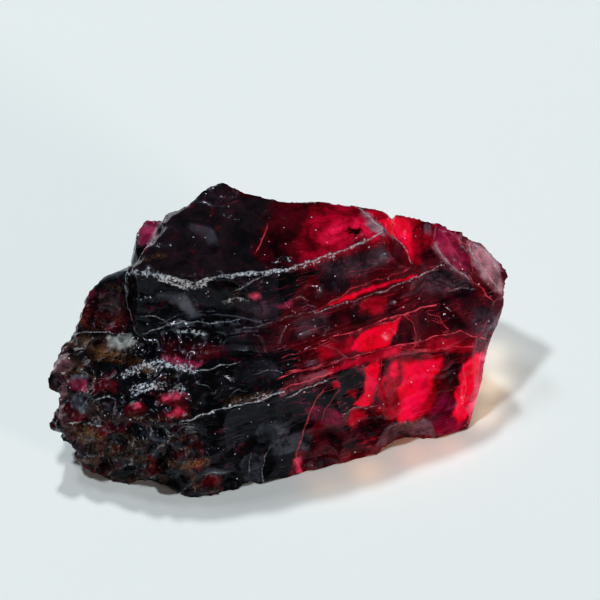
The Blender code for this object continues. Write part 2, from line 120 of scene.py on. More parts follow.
def softened(values, rounds):
    """Values at the corners, each moved toward the mean of its neighbours the given number of times."""
    first, second = edge_ends[:, 0], edge_ends[:, 1]
    count = np.bincount(edge_ends.ravel(), minlength=len(points))[:, None]
    now = values.reshape(len(points), -1).astype(float)
    for _ in range(rounds):
        total = np.empty_like(now)
        for column in range(now.shape[1]):
            total[:, column] = np.bincount(first, now[second, column], len(points))
            total[:, column] += np.bincount(second, now[first, column], len(points))
        now = 0.5 * now + 0.5 * total / count
    return now.reshape(values.shape)


def ramp(values, start, end):
    """0 before the start, 1 after the end, and a smooth rise between. The start may be the larger."""
    share = np.clip((values - start) / (end - start), 0.0, 1.0)
    return share * share * (3.0 - 2.0 * share)


SEEDS_APART = 17.3
NOISE_TO_ONE = 1.6


def clouds(size, seed, stretch=(1.0, 1.0, 1.0)):
    """Smooth noise from about -1 to 1 over the stone, in lumps of about the given size in mm.

    Each seed gives a pattern of its own, and the stretch draws the lumps out along an axis.
    """
    places = points / (np.array(stretch) * size) + seed * SEEDS_APART
    return np.array([noise.noise(place) for place in places.tolist()]) * NOISE_TO_ONE


# How far each corner stands out from the softened surface, in mm: sharp edges are above zero, and
# inner corners below.
SOFTENING_ROUNDS = 24
SHARP_FROM_TO = (0.02, 0.10)
standing_out = ((points - softened(points, SOFTENING_ROUNDS)) * outward).sum(axis=1)
sharp = ramp(standing_out, *SHARP_FROM_TO)

# Each corner's place in the photograph. Marks fade out on faces that look away from the lens, so
# that the hidden side keeps its own pattern. Their borders wander by about a pixel.
GRAZING = 0.12
LEAST_SHOWN = 0.01
WANDER = 1.3
WANDER_SIZE = 0.5
across = (points - np.array(ANCHOR)) @ np.array((photo_right, photo_up)).T / MM_PER_PIXEL
in_photo = np.array(ANCHOR_PIXEL) + across * (1.0, -1.0)
toward_lens = outward @ np.array(to_lens)
facing = ramp(toward_lens, -GRAZING, GRAZING)
shown = np.flatnonzero(facing > LEAST_SHOWN)
wandering = np.stack((clouds(WANDER_SIZE, 1), clouds(WANDER_SIZE, 2)), axis=1) * WANDER
shown_at = (in_photo + wandering)[shown]

# Distances from a mark are kept up to these, in pixels.
FAR = 99.0
DEEP = 9.0
NO_LENGTH = 1e-9


def beside(route):
    """How many pixels each shown corner is from a route, below 0 on the route's left."""
    nearest = np.full(len(shown), FAR)
    for start, end in zip(route, route[1:]):
        start, leg = np.array(start, float), np.subtract(end, start).astype(float)
        from_start = shown_at - start
        share = np.clip(from_start @ leg / max(leg @ leg, NO_LENGTH), 0.0, 1.0)
        distance = np.linalg.norm(from_start - share[:, None] * leg, axis=1)
        side = np.where(leg[0] * from_start[:, 1] < leg[1] * from_start[:, 0], -1.0, 1.0)
        nearest = np.where(distance < np.abs(nearest), distance * side, nearest)
    return nearest


def streak(route, width, soft=1.5):
    """A mask along a route: 1 inside half the width, in pixels, and fading over the soft part."""
    mask = np.zeros(len(points))
    mask[shown] = ramp(np.abs(beside(route)), width / 2 + soft, max(width / 2 - soft, 0.0))
    return mask * facing


def inside_depth(outline):
    """How many pixels each corner is inside a closed outline, and below 0 outside it."""
    closed = outline + outline[:1]
    x, y = shown_at.T
    inside = np.zeros(len(shown), bool)
    for (x0, y0), (x1, y1) in zip(closed, closed[1:]):
        if y0 != y1:
            inside ^= ((y0 > y) != (y1 > y)) & (x < (x1 - x0) * (y - y0) / (y1 - y0) + x0)
    depth = np.full(len(points), -DEEP)
    depth[shown] = np.clip(np.abs(beside(closed)) * np.where(inside, 1.0, -1.0), -DEEP, DEEP)
    return depth * facing - DEEP * (1.0 - facing)


def most(masks):
    """The strongest of several masks at each corner."""
    return np.max(np.stack(list(masks)), axis=0)


# The fracture faces. The stone parted along planes that run with its length, which left ledges with
# fine lips between smooth curved faces. Shell-like ripples spread over the faces from where each
# crack began, as they do in broken glass.
LEDGES = [
    [(164, 327), (186, 321), (212, 322), (240, 320)],
    [(240, 328), (275, 323), (314, 311), (346, 290), (370, 282), (408, 268)],
    [(279, 325), (315, 312), (367, 295), (408, 281), (424, 273), (446, 266)],
    [(196, 371), (239, 361), (284, 349), (322, 340), (360, 328), (393, 316), (416, 309), (432, 305)],
    [(229, 401), (275, 387), (320, 370), (352, 359), (385, 349), (412, 341), (445, 333), (463, 331)],
    [(257, 398), (290, 384), (328, 375), (366, 364)],
    [(150, 419), (187, 417), (206, 411), (228, 406), (262, 398)],
    [(78, 332), (100, 331), (136, 333)],
]
RIM_OF_CHANNEL = [(346, 205), (363, 215), (376, 227), (390, 238), (400, 246), (406, 256), (409, 264)]
LEFT_RIM = [(131, 262), (129, 280), (129, 304), (135, 324), (145, 338)]
LIP_HEIGHT = 0.035
LIP_WIDTH = 1.6
LIP_UNEVEN = (0.7, 0.6)
LIP_CHIP = 0.4
SWELL_HEIGHT, SWELL_WIDTH = 0.028, 2.4
WAVE_HEIGHT, WAVE_WIDTH = 0.012, 0.8

relief = SWELL_HEIGHT * clouds(SWELL_WIDTH, 3) + WAVE_HEIGHT * clouds(WAVE_WIDTH, 4)
lips = most([streak(route, LIP_WIDTH) for route in [*LEDGES, RIM_OF_CHANNEL, LEFT_RIM]])
relief += LIP_HEIGHT * lips * (LIP_UNEVEN[0] + LIP_UNEVEN[1] * clouds(LIP_CHIP, 5))

# Finer steps between the ledges, which fade in and out as they run along the front. Each is a low
# scarp: sharp above, and easing back to the face below it.
STEPS = 46
STEP_SEED = 7
STEP_LEVELS = (1.0, 7.6)
STEP_MIDDLES = (-8.0, 9.5)
STEP_RISES = (-0.05, 0.05)
STEP_HEIGHTS = (0.012, 0.045)
STEP_LENGTHS = (1.5, 6.0)
STEP_FULL = 0.5
STEP_BRINK = 0.05
STEP_EASE = 0.30
STEP_WAVER, STEP_WAVE = 0.12, 1.6
LOOKS_FRONT = (0.15, 0.5)
NOT_UNDER = (-0.1, 0.2)
chance = np.random.default_rng(STEP_SEED)
front = ramp(-outward[:, 1], *LOOKS_FRONT) * ramp(outward[:, 2], *NOT_UNDER)
wavy = STEP_WAVER * clouds(STEP_WAVE, 20)
steps = np.zeros(len(points))
for _ in range(STEPS):
    level, middle_x = chance.uniform(*STEP_LEVELS), chance.uniform(*STEP_MIDDLES)
    rise, half = chance.uniform(*STEP_RISES), chance.uniform(*STEP_LENGTHS) / 2
    below = level + rise * (points[:, 0] - middle_x) + wavy - points[:, 2]
    along = ramp(np.abs(points[:, 0] - middle_x), half, half * STEP_FULL)
    scarp = np.where(below > 0, np.exp(-below / STEP_EASE) * ramp(below, 0.0, STEP_BRINK), 0.0)
    steps -= chance.uniform(*STEP_HEIGHTS) * scarp * along
relief += steps * front

# Ripples round where a crack began: its pixel, the rings' spacing in mm, how far they reach in
# pixels, the sector they fill (the angle they head for, and half its width, in degrees), and how
# high they are in mm.
RIPPLES = [
    ((205, 420), 0.75, (38, 75), (-15, 40), 0.020),
    ((150, 412), 0.60, (18, 46), (-40, 45), 0.020),
    ((185, 300), 0.80, (12, 60), (-25, 60), 0.018),
    ((390, 300), 0.55, (10, 36), (-65, 40), 0.016),
    ((420, 300), 0.60, (8, 30), (-60, 40), 0.016),
    ((300, 400), 0.90, (15, 70), (-80, 35), 0.012),
    ((436, 250), 0.60, (8, 34), (-35, 50), 0.014),
    ((330, 225), 1.20, (10, 70), (180, 60), 0.008),
    ((480, 262), 0.60, (6, 30), (-60, 60), 0.012),
    ((250, 340), 0.50, (8, 40), (-100, 50), 0.012),
    ((262, 430), 0.40, (4, 30), (-60, 70), 0.014),
]
RING_WAVER, RING_WAVE = 0.3, 1.5
SECTOR_FULL, NEAR_FULL, FAR_FULL = 0.6, 0.7, 0.8
ring_waver = RING_WAVER * clouds(RING_WAVE, 22)
for start, spacing, (near, far), (heading, half_sector), height in RIPPLES:
    offset = in_photo - start
    distance = np.linalg.norm(offset, axis=1)
    turn = np.degrees(np.arctan2(-offset[:, 1], offset[:, 0])) - heading
    inside = ramp(np.abs((turn + 180.0) % 360.0 - 180.0), half_sector, half_sector * SECTOR_FULL)
    inside *= ramp(distance, near * NEAR_FULL, near) * ramp(distance, far, far * FAR_FULL) * facing
    ring = distance * MM_PER_PIXEL / spacing + ring_waver
    relief += height * inside * (1.0 - np.abs(2.0 * (ring % 1.0) - 1.0)) ** 2

# The faces turned away from the lens broke in the same way. Their swells and finer ripples are drawn
# out along the parting planes: how high and wide each is in mm, and how far it is drawn out.
BACK_SWELL = (0.11, 1.9, (1.7, 1.0, 0.8))
BACK_RIPPLE = (0.035, 0.55, (2.4, 1.0, 0.7))
TURNED_AWAY = (-0.10, -0.40)
OFF_EDGES = (0.6, 0.1)
ABOVE_FOOT = (0.1, 0.8)
turned_away = ramp(toward_lens, *TURNED_AWAY) * ramp(sharp, *OFF_EDGES)
turned_away *= ramp(points[:, 2], *ABOVE_FOOT)
for seed, (height, width, drawn_out) in enumerate((BACK_SWELL, BACK_RIPPLE), 26):
    relief += turned_away * height * clouds(width, seed, drawn_out)

# One facet below the left lip is shattered into scales, coarse ones with finer ones on them.
SHATTERED = [(162, 331), (208, 333), (206, 366), (166, 366)]
SHATTERED_FROM_TO = (-2.0, 4.0)
SCALES = ((0.09, 0.55), (0.05, 0.28))
shattered = ramp(inside_depth(SHATTERED), *SHATTERED_FROM_TO)
relief += shattered * sum(height * clouds(width, seed) for seed, (height, width) in enumerate(SCALES, 24))

# The frosted chips. Sharp edges have crumbled into grains of a tenth of a millimetre or so, whose
# broken faces scatter light and look white. Each is a route in the photograph's pixels, how wide it
# is, and how crushed.
FROSTED = [
    ([(131, 272), (150, 274), (164, 277)], 7.0, 0.75),
    ([(164, 279), (178, 282), (193, 286), (206, 284)], 9.0, 0.95),
    ([(206, 280), (232, 276), (258, 274), (284, 272)], 4.5, 0.85),
    ([(284, 271), (300, 267), (318, 261), (332, 256)], 6.0, 0.7),
    ([(330, 256), (345, 251), (362, 243), (379, 236)], 3.5, 0.65),
    ([(275, 264), (283, 259), (292, 262)], 6.0, 0.5),
    ([(352, 243), (357, 237), (365, 238)], 3.5, 0.55),
    ([(138, 299), (146, 299), (155, 297)], 3.0, 0.8),
    ([(136, 249), (152, 247), (174, 246)], 4.0, 0.5),
    ([(207, 198), (220, 199), (234, 200)], 3.5, 0.55),
    ([(222, 217), (232, 219), (240, 222)], 2.5, 0.5),
    ([(280, 217), (287, 222)], 3.0, 0.35),
    ([(265, 198), (273, 201)], 4.0, 0.45),
    ([(160, 222), (168, 212), (180, 204)], 4.0, 0.5),
    ([(160, 232), (176, 228), (190, 236)], 7.0, 0.25),
    ([(238, 291), (252, 283), (271, 276)], 3.0, 0.5),
    ([(228, 302), (238, 299), (249, 301)], 6.0, 0.6),
    ([(188, 291), (195, 300), (200, 305)], 5.0, 0.3),
    ([(212, 297), (219, 299)], 4.0, 0.45),
    ([(164, 327), (186, 321), (212, 322), (240, 320)], 2.5, 0.65),
    ([(182, 330), (195, 330), (208, 333)], 5.0, 0.9),
    ([(110, 340), (137, 340)], 9.0, 0.35),
    ([(129, 372), (150, 362), (170, 361), (196, 369)], 9.0, 0.8),
    ([(140, 388), (160, 382), (183, 386)], 11.0, 0.8),
    ([(78, 419), (90, 419), (104, 422)], 4.0, 0.6),
    ([(187, 418), (206, 411), (228, 406)], 2.6, 0.65),
    ([(226, 403), (245, 398), (262, 393), (284, 388)], 5.0, 0.55),
    ([(104, 396), (112, 394), (121, 398)], 2.5, 0.6),
    ([(433, 269), (439, 266), (446, 270)], 6.0, 0.5),
    ([(373, 219), (384, 232), (392, 239)], 2.0, 0.4),
    ([(210, 442), (225, 444), (236, 441)], 3.0, 0.4),
    ([(94, 292), (106, 297), (118, 292)], 5.0, 0.4),
    ([(64, 357), (72, 358)], 4.0, 0.35),
    ([(315, 312), (340, 304), (367, 295)], 2.0, 0.35),
    ([(396, 285), (408, 281), (424, 273)], 2.6, 0.45),
    ([(396, 422), (408, 420), (420, 417)], 6.0, 0.35),
]
CHIP_DEPTH = 0.07
CRUMB = 0.16
LUMP = 1.6 * CRUMB
EDGE_FROST = 0.6
LESS_IN_FRONT = 0.7
EDGE_CRUMBLE = 0.5
CRUMBLE_LIMITS = (-1.0, 0.6)
frost_marks = most([streak(route, width) * share for route, width, share in FROSTED])
patchy = ramp(clouds(0.7, 30), -0.2, 0.5) * ramp(clouds(2.5, 31), -0.5, 0.3)
frost = np.maximum(frost_marks, EDGE_FROST * sharp * patchy * (1.0 - LESS_IN_FRONT * facing))
crumbly = np.clip(clouds(LUMP, 32) + 0.5 * clouds(CRUMB, 33), *CRUMBLE_LIMITS)
relief += CHIP_DEPTH * np.maximum(frost, EDGE_CRUMBLE * sharp) * crumbly

# The weathered end. Here the stone lay against its host rock: its skin is knobbly and etched, with
# iron rust in the hollows, and small fresh windows where a bit has broken off.
END_X = (-4.5, -6.7)
END_Z = (5.5, 4.1)
END_WAVER = (0.6, 0.4)
end = ramp(points[:, 0] + END_WAVER[0] * clouds(1.5, 40), *END_X)
end *= ramp(points[:, 2] + END_WAVER[1] * clouds(1.0, 41), *END_Z)

# Each knob's place gives it a number of its own from 0 to 1, which picks what its skin is like.
KNOB_SIZE = 0.8
KNOB_SEED = 27.3
KNOB_MIX = (12.99, 78.23, 37.72)
KNOB_SPREAD = 4375.85
KNOB_HEIGHT, KNOB_SIDE = 0.10, 0.35
KNOB_SUNK = 0.06
KNOB_UNLIKE, KNOB_BRINK = 0.07, 0.12
ETCHED_HEIGHT, ETCHED_WIDTH = 0.05, 0.35
found = [noise.voronoi(place) for place in (points / KNOB_SIZE + KNOB_SEED).tolist()]
to_middle = np.array([distances[0] for distances, _ in found]) * KNOB_SIZE
to_next = np.array([distances[1] for distances, _ in found]) * KNOB_SIZE
knob_at = np.array([tuple(places[0]) for _, places in found])
kind_of_knob = np.abs(np.sin(knob_at @ KNOB_MIX) * KNOB_SPREAD) % 1.0
in_knob = to_next - to_middle
relief += end * (KNOB_HEIGHT * ramp(in_knob, 0.0, KNOB_SIDE) - KNOB_SUNK)
relief += end * ETCHED_HEIGHT * clouds(ETCHED_WIDTH, 42)
relief += end * KNOB_UNLIKE * (kind_of_knob - 0.5) * ramp(in_knob, 0.0, KNOB_BRINK)

# The crystal's parts. It grew as one garnet, clear deep red where it is sound, and maroon to
# black where cracks and inclusions fill it. Some parts are painted light, not the crystal's own
# colour: the red glows are painted light that comes through the clear crystal, and the sheens are
# painted reflections, as said at each. Each part has the two colours that it varies between,
# and its body: the share of light that it sends back before the clear crystal behind it can. Then
# come half the width of its border and how ragged that is, in pixels, and where it shows from the
# front, as closed outlines in the photograph's pixels. A later part lies over an earlier one.
PARTS = {
    "black_glass": ("#07070A", "#17171C", 0.93, 1.8, 1.6, [
        [(30, 160), (256, 160), (262, 240), (264, 266), (326, 262), (290, 300), (262, 325), (275, 345),
         (305, 350), (306, 372), (345, 368), (362, 385), (344, 412), (318, 412), (300, 440), (292, 470),
         (262, 520), (30, 520)],
        [(130, 279), (163, 280), (205, 287), (232, 279), (280, 275), (318, 264), (346, 252), (338, 262),
         (300, 288), (286, 312), (275, 321), (236, 319), (186, 320), (163, 331), (146, 338), (133, 320),
         (129, 300)],
        [(163, 333), (236, 324), (270, 327), (284, 344), (262, 357), (225, 352), (163, 352)],
        [(196, 372), (262, 359), (300, 347), (306, 366), (285, 382), (225, 398), (196, 394)],
        [(146, 421), (206, 414), (258, 401), (310, 386), (330, 377), (318, 400), (306, 424), (300, 440),
         (292, 466), (265, 477), (226, 488), (206, 493), (190, 470), (170, 440)],
        [(330, 368), (352, 366), (362, 372), (364, 386), (360, 400), (346, 410), (330, 412), (318, 402),
         (322, 384)],
        [(446, 292), (458, 288), (468, 288), (476, 293), (468, 298), (452, 298)],
        [(444, 355), (460, 354), (457, 361), (445, 361)],
        [(92, 450), (120, 452), (144, 462), (150, 478), (116, 480), (103, 468)],
        [(136, 284), (146, 282), (150, 300), (146, 330), (136, 322)],
    ]),
    # The crest's black, lifted toward grey as a painted faint sheen.
    "black_crest": ("#1C1A1E", "#33272C", 0.93, 7.0, 3.5, [
        [(130, 276), (130, 262), (146, 245), (166, 208), (202, 190), (222, 178), (252, 188), (294, 198),
         (282, 217), (276, 228), (274, 240), (270, 253), (276, 262), (272, 272), (232, 276), (205, 283),
         (163, 277)],
    ]),
    "dark_maroon": ("#1C040C", "#54101F", 0.86, 4.0, 2.5, [
        [(256, 252), (264, 236), (270, 250), (290, 259), (282, 268), (268, 270), (262, 262)],
        [(238, 186), (262, 192), (262, 201), (240, 199)],
        [(338, 262), (378, 241), (400, 250), (408, 264), (376, 276), (348, 290), (318, 305), (286, 312),
         (300, 288)],
        [(240, 331), (276, 326), (316, 315), (346, 304), (372, 298), (408, 283), (440, 270), (466, 288),
         (486, 302), (478, 330), (440, 331), (418, 338), (412, 314), (380, 317), (320, 338), (286, 346),
         (262, 352)],
        [(300, 347), (326, 342), (350, 336), (348, 349), (310, 366), (296, 374)],
        [(388, 322), (414, 316), (413, 344), (388, 346)],
        [(421, 222), (427, 221), (431, 232), (434, 246), (436, 266), (414, 271), (417, 254), (421, 245),
         (422, 234)],
        [(443, 360), (458, 362), (458, 388), (448, 394), (442, 384)],
        [(300, 440), (319, 426), (372, 412), (400, 420), (431, 418), (433, 433), (400, 434), (375, 445),
         (338, 460), (300, 468)],
        [(82, 292), (104, 289), (128, 296), (130, 331), (98, 331), (82, 326)],
        [(163, 332), (200, 340), (232, 345), (228, 354), (196, 360), (164, 354)],
        [(466, 272), (471, 270), (497, 302), (486, 300)],
        [(494, 264), (504, 268), (505, 286), (499, 296), (492, 284)],
    ]),
    "dull_skin": ("#150E0E", "#54463F", 0.94, 3.0, 3.0, [
        [(58, 352), (72, 340), (80, 336), (132, 337), (136, 347), (112, 350), (92, 362), (74, 372),
         (62, 368)],
        [(104, 300), (118, 296), (126, 304), (112, 312)],
        [(62, 400), (78, 414), (88, 430), (76, 430)],
    ]),
    "end_red": ("#24080C", "#5E1822", 0.91, 2.6, 3.0, [
        [(70, 408), (84, 404), (92, 412), (80, 420)],
        [(98, 424), (112, 418), (124, 424), (114, 432), (100, 432)],
        [(112, 456), (128, 458), (124, 468), (110, 464)],
        [(176, 438), (192, 432), (204, 438), (190, 448)],
        [(150, 448), (164, 446), (168, 458), (154, 460)],
        [(96, 375), (123, 375), (122, 392), (98, 391)],
        [(199, 472), (214, 469), (227, 472), (222, 482), (204, 482)],
        [(117, 440), (128, 442), (127, 450), (118, 449)],
        [(131, 402), (146, 399), (153, 403), (146, 412), (132, 412)],
        [(160, 392), (190, 389), (194, 396), (186, 404), (164, 402)],
        [(160, 410), (186, 402), (196, 404), (190, 414), (164, 418)],
        [(82, 300), (100, 296), (102, 318), (84, 322)],
    ]),
    "deep_red": ("#660619", "#BC1034", 0.84, 3.0, 2.0, [
        [(411, 221), (420, 219), (423, 230), (420, 244), (415, 264), (411, 250)],
        [(428, 220), (437, 223), (439, 240), (437, 254), (432, 246), (431, 232)],
        [(361, 300), (372, 297), (384, 300), (384, 312), (368, 316), (360, 310)],
        [(389, 349), (412, 342), (436, 337), (463, 334), (472, 340), (470, 350), (412, 352)],
        [(318, 348), (350, 336), (352, 350), (320, 360)],
        [(419, 234), (428, 230), (432, 246), (420, 250)],
    ]),
    "crest_wine": ("#1C080E", "#54101F", 0.90, 8.5, 5.0, [
        [(280, 196), (312, 197), (350, 200), (368, 214), (380, 228), (382, 238), (362, 248), (346, 256),
         (318, 266), (296, 273), (280, 268), (264, 260), (254, 252), (262, 236), (266, 222),
         (270, 206)],
    ]),
    "crest_crimson": ("#56061A", "#B41038", 0.88, 8.5, 4.5, [
        [(330, 198), (350, 200), (368, 214), (380, 228), (382, 238), (362, 248), (346, 256), (318, 264),
         (304, 268), (296, 254), (304, 236), (312, 216)],
    ]),
    # Painted light: the crest's red, lit bright where light comes through the clear crystal.
    "painted_glow_crest": ("#A40E30", "#FF2A56", 0.88, 7.0, 4.0, [
        [(318, 244), (324, 232), (336, 226), (352, 222), (368, 220), (378, 228), (372, 238), (352, 242),
         (336, 246), (322, 250)],
    ]),
    # The front window's red: the crystal's own red, painted brighter where light comes through the clear
    # crystal, and a few small red spots.
    "window_red": ("#5A0414", "#B4082C", 0.88, 2.2, 1.8, [
        [(379, 358), (398, 354), (440, 352), (441, 366), (436, 388), (426, 410), (414, 420), (400, 421),
         (386, 417), (373, 406), (374, 390)],
        [(348, 412), (352, 407), (360, 409), (366, 405), (369, 413), (364, 420), (358, 419), (352, 425),
         (347, 419)],
        [(333, 380), (337, 379), (338, 385), (334, 386)],
        [(345, 388), (352, 386), (356, 389), (354, 396), (348, 394)],
        [(322, 408), (330, 405), (334, 412), (326, 416)],
    ]),
    "foot_red": ("#36041A", "#8C1244", 0.84, 2.6, 2.2, [
        [(433, 394), (446, 394), (458, 402), (464, 406), (458, 430), (440, 434), (432, 430),
         (428, 414)],
        [(306, 404), (320, 402), (336, 408), (340, 420), (322, 422), (308, 414)],
    ]),
    "foot_crumbs": ("#2E1A22", "#7C5A66", 0.90, 2.4, 2.4, [
        [(376, 444), (378, 434), (386, 424), (400, 419), (420, 417), (431, 421), (433, 433), (412, 433),
         (400, 434), (388, 441)],
    ]),
    "crimson": ("#86061F", "#D80C3C", 0.84, 2.5, 1.6, [
        [(366, 211), (396, 214), (410, 215), (422, 220), (413, 231), (410, 240), (415, 246), (411, 264),
         (404, 254), (400, 245), (389, 236), (376, 226), (364, 214)],
    ]),
    # Painted light: bright red where light comes through the clear crystal, in the channel, along a ledge,
    # in columns in front and near the right rim.
    "painted_glow_clear_red": ("#F40A30", "#FF0E48", 0.92, 1.8, 1.2, [
        [(377, 222), (392, 219), (408, 222), (410, 232), (408, 246), (410, 256), (403, 250),
         (392, 238)],
        [(315, 312), (342, 297), (365, 288), (383, 283), (396, 280), (414, 275), (414, 278), (384, 286),
         (344, 300)],
        [(349, 347), (358, 333), (384, 322), (399, 317), (392, 332), (386, 345), (360, 352)],
        [(362, 366), (379, 356), (381, 360), (376, 376), (373, 390), (369, 403), (358, 404), (353, 402),
         (362, 392), (365, 380)],
        [(456, 374), (461, 362), (473, 352), (480, 352), (475, 378), (469, 398), (463, 416), (455, 422),
         (451, 414), (454, 402), (452, 392)],
    ]),
    # Painted light: the core of the front window and a small patch beside it, bright where light comes
    # through.
    "painted_glow_window": ("#F4082E", "#FF1450", 0.93, 2.6, 2.0, [
        [(402, 361), (438, 358), (436, 370), (428, 388), (417, 408), (410, 419), (396, 419), (398, 404),
         (396, 390), (402, 376)],
        [(387, 363), (394, 360), (397, 370), (391, 377), (386, 372)],
    ]),
    "parting_band": ("#9C0C2A", "#E42A4A", 0.88, 2.2, 2.4, [
        [(324, 370), (345, 360), (372, 351), (390, 346), (400, 345), (398, 352), (384, 357), (364, 361),
         (340, 368), (328, 374)],
    ]),
    "parting_haze": ("#34121A", "#94505A", 0.86, 2.6, 2.4, [
        [(283, 380), (300, 373), (326, 366), (330, 371), (318, 378), (300, 386), (284, 392)],
    ]),
    "black_blots": ("#160306", "#3C0810", 0.92, 2.2, 2.6, [
        [(344, 233), (348, 228), (353, 230), (359, 228), (361, 233), (355, 238), (350, 235),
         (346, 238)],
        [(378, 359), (389, 356), (387, 363), (381, 372), (376, 376)],
        [(441, 354), (460, 352), (459, 358), (442, 360)],
        [(447, 362), (456, 364), (453, 374), (457, 388), (450, 396), (443, 390), (446, 376)],
        [(381, 378), (384, 380), (384, 388), (380, 386)],
        [(366, 408), (382, 412), (384, 424), (376, 438), (368, 430)],
    ]),
    # Painted light: the rosy glow of the right rim, where light comes through the thin edge, and small rosy
    # glints on the front.
    "rose_glints_and_rim_glow": ("#C02444", "#FF6888", 0.88, 3.0, 2.4, [
        [(484, 336), (492, 342), (486, 364), (479, 389), (472, 414), (465, 422), (464, 410), (470, 390),
         (477, 362)],
        [(166, 391), (178, 390), (188, 391), (184, 395), (168, 396)],
        [(138, 402), (146, 401), (145, 404), (139, 405)],
        [(250, 297), (254, 294), (258, 295), (260, 298), (255, 300)],
        [(296, 457), (300, 455), (302, 468), (297, 468)],
        [(172, 411), (184, 405), (190, 406), (186, 411), (174, 414)],
    ]),
    "violet_red": ("#500C28", "#A42C50", 0.82, 2.5, 1.5, [
        [(434, 228), (439, 226), (449, 230), (459, 241), (466, 256), (467, 268), (464, 273), (449, 266),
         (439, 256), (433, 245)],
        [(86, 288), (98, 288), (97, 306), (88, 308)],
    ]),
    "pink_glass": ("#641A38", "#C0486C", 0.80, 3.4, 2.4, [
        [(141, 245), (140, 230), (152, 219), (160, 226), (156, 238), (148, 250)],
        [(164, 354), (178, 357), (196, 358), (207, 361), (196, 367), (180, 363)],
        [(75, 378), (92, 377), (92, 388), (77, 387)],
        [(275, 305), (293, 303), (292, 307), (277, 308)],
        [(446, 247), (453, 252), (461, 262), (458, 263), (449, 256)],
    ]),
    # Painted light: pale pink sheens on the right end's facets and along the channel's rim, and the pale
    # glow of light through the thin back-left edge and the right rim.
    "pink_sheen_and_edge_glow": ("#5C3A46", "#BC949E", 0.86, 3.0, 1.8, [
        [(462, 241), (472, 244), (482, 248), (490, 252), (497, 262), (496, 276), (501, 290), (498, 297),
         (489, 289), (477, 276), (469, 263), (464, 251)],
        [(433, 245), (439, 256), (449, 266), (466, 279), (467, 282), (449, 271), (437, 259),
         (431, 247)],
        [(487, 317), (498, 316), (494, 334), (489, 349), (484, 348)],
        [(160, 222), (168, 210), (176, 204), (174, 212), (164, 222), (156, 236)],
        [(356, 207), (364, 212), (376, 224), (386, 234), (380, 238), (370, 232), (362, 220)],
    ]),
    # Painted reflection: grey sheens where the dark faces would mirror the bright room, as a wedge in front
    # and along the weathered end.
    "painted_grey_sheen": ("#34363C", "#646870", 0.90, 3.0, 2.0, [
        [(160, 297), (172, 291), (188, 293), (196, 305), (203, 318), (192, 318), (184, 307),
         (172, 299)],
        [(78, 373), (94, 373), (94, 377), (78, 377)],
        [(78, 393), (90, 392), (96, 405), (88, 412), (79, 404)],
        [(88, 288), (110, 274), (129, 269), (127, 275), (108, 280), (92, 292)],
    ]),
    "pale_facet": ("#7E827E", "#B0B4AE", 0.95, 2.0, 1.5, [
        [(110, 335), (136, 334), (137, 343), (124, 347), (112, 345)],
    ]),
    "rim_skin": ("#302024", "#7C5C60", 0.92, 2.6, 3.0, [
        [(57, 354), (64, 342), (73, 348), (76, 366), (72, 384), (70, 400), (60, 404), (54, 382)],
        [(58, 408), (66, 404), (74, 416), (70, 422)],
    ]),
    # Painted reflections: blue-grey sheens over the black of the lower front.
    "painted_slate_sheen": ("#121418", "#484C54", 0.92, 1.8, 1.4, [
        [(146, 424), (158, 427), (170, 436), (174, 442), (166, 442), (152, 434), (145, 430)],
        [(152, 441), (162, 440), (168, 450), (164, 457), (156, 452)],
        [(172, 443), (182, 437), (198, 437), (192, 441), (180, 445)],
        [(185, 423), (197, 421), (198, 427), (188, 429)],
        [(262, 420), (284, 416), (296, 420), (290, 428), (276, 436), (262, 438), (254, 434)],
        [(276, 434), (300, 428), (312, 432), (312, 446), (296, 448), (276, 452), (270, 446)],
        [(246, 452), (258, 449), (266, 450), (264, 464), (262, 478), (252, 480), (244, 474),
         (242, 462)],
        [(199, 474), (203, 467), (212, 463), (226, 465), (238, 470), (228, 473), (218, 469), (208, 470),
         (203, 477)],
        [(168, 468), (176, 464), (184, 468), (180, 474), (170, 473)],
        [(188, 488), (204, 486), (216, 488), (208, 492), (192, 493)],
        [(140, 466), (150, 470), (166, 482), (150, 484), (140, 476)],
        [(312, 468), (320, 458), (328, 456), (318, 466)],
    ]),
    # Painted reflections: faint grey sheens over the dark front faces. On the weathered end the same colours
    # make some knobs grey.
    "faint_sheen_and_grey_knobs": ("#241820", "#52424A", 0.92, 6.0, 3.0, [
        [(422, 271), (440, 266), (466, 278), (470, 288), (444, 293), (420, 292)],
        [(468, 308), (498, 305), (494, 334), (480, 352), (472, 336)],
        [(318, 266), (352, 256), (380, 246), (390, 258), (356, 276), (322, 288)],
        [(292, 318), (326, 311), (330, 327), (296, 334)],
        [(240, 306), (262, 302), (282, 308), (268, 328), (240, 330)],
    ]),
}
depths = {
    name: most([inside_depth(outline) for outline in outlines])
    for name, (*_, outlines) in PARTS.items()
}

# What the hidden side is made of: black toward the weathered end and clear toward the other, with
# maroon clouds between.
DARK_FROM_X = 0.8
DARK_SLOPE = 2.0
DARK_WAVER = ((1.6, 2.6, 50), (1.1, 1.0, 55))
MAROON_CLOUD = 2.2
MAROON_LESS = 3.0
uneven_x = points[:, 0] + sum(reach * clouds(size, seed) for reach, size, seed in DARK_WAVER)
hidden = facing < 0.5
to_dark = np.clip((DARK_FROM_X - uneven_x) * DARK_SLOPE, -DEEP, DEEP)
to_maroon = np.clip(DEEP * clouds(MAROON_CLOUD, 53) - MAROON_LESS, -DEEP, DEEP)
depths["black_glass"] = np.where(hidden, to_dark, depths["black_glass"])
depths["dark_maroon"] = np.where(hidden, to_maroon, depths["dark_maroon"])

